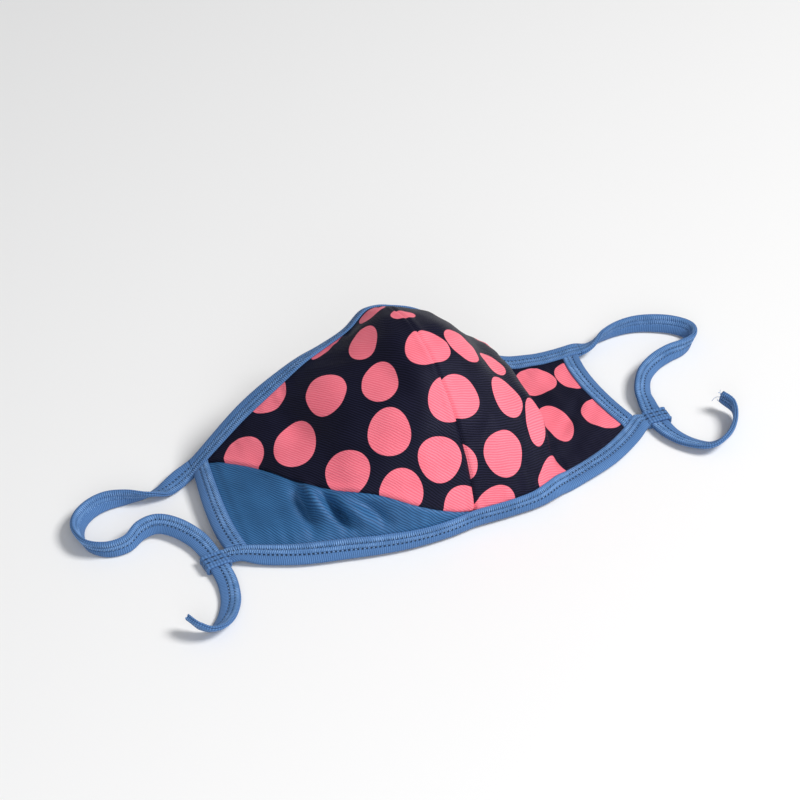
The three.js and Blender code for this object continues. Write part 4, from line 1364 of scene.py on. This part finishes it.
@dataclass
class Keeper:
    """A short loop of tape round the strap at a lower corner."""

    strap: EarStrap
    length: float = SIZES.keeper_length
    stations: int = 19
    count: int = 40

    def strip(self) -> float:
        """The length of tape that goes once round the strap, in millimetres."""
        return 2 * (SIZES.strap_width + SIZES.strap_thickness + 2 * (SIZES.fit + SIZES.keeper_wall))

    def loop(self, half_width: float, half_thick: float, corner: float) -> np.ndarray:
        """A flat rounded loop as offsets in the width and thickness directions."""
        turn = np.linspace(0, math.tau, self.count, endpoint=False)
        x, y = np.cos(turn), np.sin(turn)
        grow = (np.abs(x) ** 6 + np.abs(y) ** 6) ** (-1 / 6)
        flat = np.stack([x * grow * half_width, y * grow * half_thick], -1)
        straight = half_width - corner
        inset = np.stack([np.clip(flat[:, 0], -straight, straight), flat[:, 1] * 0], -1)
        away = np.linalg.norm(flat - inset, axis=-1, keepdims=True)
        return inset + unit(flat - inset) * np.minimum(away, half_thick * 1.2)

    def build(self, name: str) -> bpy.types.Object:
        """The keeper's mesh: an outer skin with hems at both ends and an inner skin, joined at the ends."""
        middle = self.strap.keeper_row / (len(self.strap.table) - 1)
        point, along, width, thick = (v[0] for v in self.strap.way(np.array([middle])))
        wall = SIZES.fit + SIZES.keeper_wall
        share = np.linspace(-0.5, 0.5, self.stations)
        far = np.abs(share)
        hem = 0.22 * np.exp(-(((far - 0.42) / 0.05) ** 2)) - 0.28 * np.exp(-(((far - 0.3) / 0.035) ** 2))
        hem = hem - 0.4 * ease(far, 0.46, 0.5)
        outer, inner = [], []
        half_width, half_thick = SIZES.strap_width / 2, SIZES.strap_thickness / 2
        for s, h in zip(share, hem):
            centre = point + along * s * self.length
            big = self.loop(half_width + wall + h * 0.5, half_thick + wall - 0.25 + h, 1.2)
            small = self.loop(half_width + SIZES.fit, half_thick + 0.12, 1.0)
            outer.append(centre + big[:, :1] * width + big[:, 1:] * thick)
            inner.append(centre + small[:, :1] * width + small[:, 1:] * thick)
        rings = np.array(outer + inner[::-1])
        total = len(rings)
        faces = []
        for s in range(total):
            low, high = s * self.count, ((s + 1) % total) * self.count
            faces += [(low + k, low + (k + 1) % self.count, high + (k + 1) % self.count, high + k)
                      for k in range(self.count)]
        turn = np.arange(self.count) / self.count * 26.0
        along_lay = np.broadcast_to(turn, (total, self.count))
        across = np.concatenate([share, share[::-1]])[:, None] * self.length + 5.95
        lay = np.stack([along_lay, np.broadcast_to(across, along_lay.shape), 0 * along_lay], -1)
        return make_object(name, rings.reshape(-1, 3), faces, {"lay": lay.reshape(-1, 3)})


@dataclass
class Studio:
    """The floor, the lights and the camera."""

    view: PhotoView = VIEW

    def camera(self) -> bpy.types.Object:
        """The camera at the photograph's angle, with the seam's foot at its place in the frame."""
        right, up, back = (Vector(axis) for axis in self.view.axes())
        place = Vector(SEAM_FOOT * MM + self.view.place())
        data = bpy.data.cameras.new("camera")
        data.sensor_width = 36.0
        data.lens = self.view.pixels_per_radian / self.view.frame_pixels * data.sensor_width
        made = bpy.data.objects.new("camera", data)
        made.matrix_world = Matrix.Translation(place) @ Matrix((right, up, back)).transposed().to_4x4()
        bpy.context.collection.objects.link(made)
        bpy.context.scene.camera = made
        return made

    def light(self, name: str, place: tuple[float, float, float], size: float, power: float,
              colour: tuple[float, float, float] = (1, 1, 1)) -> bpy.types.Object:
        """A square area light that looks at the mask."""
        data = bpy.data.lights.new(name, "AREA")
        data.size = size
        data.energy = power
        data.color = colour
        made = bpy.data.objects.new(name, data)
        made.location = place
        made.rotation_euler = (Vector((0, 0, 0.02)) - Vector(place)).to_track_quat("-Z", "Y").to_euler()
        bpy.context.collection.objects.link(made)
        return made

    def floor(self) -> bpy.types.Object:
        """A wide pale floor."""
        reach = 4.0
        mesh = bpy.data.meshes.new("floor")
        corners = [(-reach, -reach, 0), (reach, -reach, 0), (reach, reach, 0), (-reach, reach, 0)]
        mesh.from_pydata(corners, [], [(0, 1, 2, 3)])
        made = bpy.data.objects.new("floor", mesh)
        bpy.context.collection.objects.link(made)
        paper = bpy.data.materials.new("pale_floor")
        paper.use_nodes = True
        shader = paper.node_tree.nodes["Principled BSDF"]
        shader.inputs["Base Color"].default_value = (0.885, 0.885, 0.885, 1)
        shader.inputs["Roughness"].default_value = 0.95
        shader.inputs["Specular IOR Level"].default_value = 0.1
        made.data.materials.append(paper)
        return made

    def set_up(self) -> None:
        """Places everything and sets the world's soft light."""
        self.camera()
        self.floor()
        self.light("key", (1.20, -0.80, 1.85), 0.8, 47.0, (1.0, 0.99, 0.975))
        self.light("fill", (-0.50, -1.1, 0.80), 1.0, 7.0, (0.97, 0.98, 1.0))
        world = bpy.data.worlds.new("studio")
        world.use_nodes = True
        world.node_tree.nodes["Background"].inputs["Color"].default_value = (0.95, 0.97, 1.0, 1)
        world.node_tree.nodes["Background"].inputs["Strength"].default_value = 0.26
        bpy.context.scene.world = world
        bpy.context.scene.view_settings.view_transform = "Standard"


# The cloth, ink and tape colours run from painted shade in the rib valleys to the lit rib tops; the thread's
# two colours are a random tone.
INK = Ink((1.0, 0.255, 0.325), (0.88, 0.140, 0.200))
NAVY = ClothFinish("printed_cloth", (0.0015, 0.0017, 0.0042), (0.0150, 0.0152, 0.0370), INK, -45.0)
NAVY_RIGHT = ClothFinish("printed_cloth_right", (0.0015, 0.0017, 0.0042), (0.0150, 0.0152, 0.0370), INK, 15.0)
PLAIN = ClothFinish("plain_cloth", (0.009, 0.052, 0.135), (0.046, 0.170, 0.385), None, -42.0, gloss=0.34)
TAPE = TapeFinish("binding_tape", (0.046, 0.120, 0.285), (0.118, 0.250, 0.515), (4.35, 6.95), 2.0)
THREAD = ThreadFinish("thread", (0.11, 0.24, 0.47), (0.23, 0.41, 0.71))


@dataclass
class FaceMask:
    """The whole mask, piece by piece."""

    left: CupHalf = field(
        default_factory=lambda: CupHalf(Side.LEFT, np.array(LEFT_SECTIONS), np.array(LEFT_DENTS))
    )
    right: CupHalf = field(
        default_factory=lambda: CupHalf(Side.RIGHT, np.array(RIGHT_SECTIONS), np.array(RIGHT_DENTS))
    )

    def columns(self, half: CupHalf, count: int) -> np.ndarray:
        """Out shares of a panel's columns, closer together beside the seam."""
        last = 1 - (SIZES.tape_leaf + SIZES.fit) / float(half.side_pace(np.array([0.5]))[0])
        near = 4.0 / SIZES.half_width
        return np.concatenate([np.linspace(0, near, 14)[:-1], np.linspace(near, last, count - 13)])

    def panels(self) -> list[bpy.types.Object]:
        """The three cloth pieces, dressed."""
        web = SIZES.tape_leaf + SIZES.fit
        printed, printed_right, plain = NAVY.material(), NAVY_RIGHT.material(), PLAIN.material()
        pieces = []
        panel = ClothPanel(self.right, "cloth_right_print", RIGHT_DOTS)
        out = self.columns(self.right, panel.columns)
        length = self.right.length(out)
        right = panel.build(web / length, 1 - web / length, out, False, False)
        panel = ClothPanel(self.left, "cloth_left_print", LEFT_DOTS)
        out = self.columns(self.left, panel.columns)
        length = self.left.length(out)
        parting = np.maximum(smooth_rows(np.array(CHIN_PIECE_EDGE), out)[:, 0], (web + 0.6) / length)
        left = panel.build(parting, 1 - web / length, out, True, False)
        panel = ClothPanel(self.left, "cloth_left_chin", (), rows=80)
        chin = panel.build(web / length, parting, out, False, True)
        for piece, finish, node, slot in (
            (right, printed_right, "panel_right_print", "printed_cloth"),
            (left, printed, "panel_left_print", "printed_cloth"),
            (chin, plain, "panel_left_chin", "plain_cloth"),
        ):
            piece.data.materials.append(finish)
            finish_piece(piece, (node,))
            area = sheet_area(piece)
            flat = self.flat_size(piece)
            wide, long = flat[0] / MM, flat[1] / MM
            LOG.info("%s: flat %.0f x %.0f mm, area %.0f cm2", piece.name, wide, long, area * 1e4)
            pieces.append(piece)
        return pieces

    def keeper_side(self, strap: EarStrap) -> np.ndarray:
        """From the middle of a keeper's foot to the side of it that the chin tape runs into."""
        inward = -strap.half.side.value * (SIZES.strap_width / 2 + SIZES.keeper_wall * 0.4)
        return np.array([inward, 0.4, SIZES.strap_thickness / 2 + SIZES.keeper_wall + SIZES.fit])

    def flat_size(self, piece: bpy.types.Object) -> tuple[float, float]:
        """The width and length of the cut that a panel's flat places span, in metres."""
        lay = np.zeros(len(piece.data.vertices) * 3)
        piece.data.attributes["lay"].data.foreach_get("vector", lay)
        span = np.ptp(lay.reshape(-1, 3), axis=0)
        return float(span[0] * MM), float(span[1] * MM)

    def tapes(self) -> list[bpy.types.Object]:
        """The tapes and straps with their stitches and keepers, dressed."""
        tape = EdgeTape(self.left, self.right)
        left = EarStrap(self.left, np.array(LEFT_STRAP), 18, tip=0.55)
        right = EarStrap(self.right, np.array(RIGHT_STRAP), 17)
        nose, seam = tape.across_seam(Edge.NOSE)
        strap_left, strap_right = left.rings(), right.rings()
        whole = np.concatenate([strap_left[::-1], nose, strap_right])
        first, last = len(strap_left), len(strap_left) + len(nose) - 1
        whole = softened(softened(whole, first - 1, 9), last + 1, 9)
        run = TapeRun(tape.shape, whole)
        chin = tape.across_seam(Edge.CHIN)[0]
        chin = reached(chin, right.corners()[1] + self.keeper_side(right))
        chin = TapeRun(tape.shape, reached(chin[::-1], left.corners()[1] + self.keeper_side(left))[::-1])
        runs = {
            "nose_tape": (run.cut(first, last), "binding_nose"),
            "chin_tape": (chin, "binding_chin"),
            "side_tape_left": (tape.side_run(self.left), "binding_side_left"),
            "side_tape_right": (tape.side_run(self.right), "binding_side_right"),
            "strap_left": (run.cut(0, first), "ear_strap_left"),
            "strap_right": (run.cut(last, len(whole) - 1), "ear_strap_right"),
        }
        cloth, thread = TAPE.material(), THREAD.material()
        sewing = Coverstitch(TAPE.stitch_pitch)
        tree = sewing.tree()
        pieces = []
        keepers = []
        for name, strap in (("keeper_loop_left", left), ("keeper_loop_right", right)):
            piece = Keeper(strap).build(name)
            piece.data.materials.append(cloth)
            finish_piece(piece, (name.replace("keeper_loop", "keeper"),))
            keepers.append(piece)
        for name, (length, node) in runs.items():
            piece = length.build(name)
            piece.data.materials.append(cloth)
            finish_piece(piece, (node,))
            strap = name.startswith("strap")
            stitches = sewing.dress(name + "_stitches", [length], tree, thread, under=strap)
            if name == "strap_right":
                way = unit(length.rings[-1].mean(0) - length.rings[-4].mean(0))
                loose = sewing.frayed("frayed_end", length.rings[-1], way, tree, thread)
                stitches = joined([stitches, loose])
            finish_piece(stitches, ())
            way = float(np.ptp(length.lengths())) * MM
            sewn_on = [stitches]
            if name == "chin_tape":
                sewn_on += keepers
                way += len(keepers) * Keeper(left).strip() * MM
            pieces += [piece, stitches]
        return pieces + keepers


def sheet_area(piece: bpy.types.Object) -> float:
    """Half the surface of a slab, which is the area of its cloth, in square metres."""
    areas = np.zeros(len(piece.data.polygons))
    piece.data.polygons.foreach_get("area", areas)
    return float(areas.sum() / 2)


def finish_piece(piece: bpy.types.Object, nodes: tuple[str, ...]) -> None:
    """Makes a piece ride on the mask and stand for its solids."""
    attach(piece, "root")
    if nodes:
        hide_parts(*nodes)
    LOG.info("%s: %d faces", piece.name, len(piece.data.polygons))


def main() -> None:
    """Builds the studio and the mask in order."""
    logging.basicConfig(level=logging.INFO, format="%(message)s")
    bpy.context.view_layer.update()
    Studio().set_up()
    mask = FaceMask()
    mask.panels()
    mask.tapes()


if __name__ == "__main__":
    main()
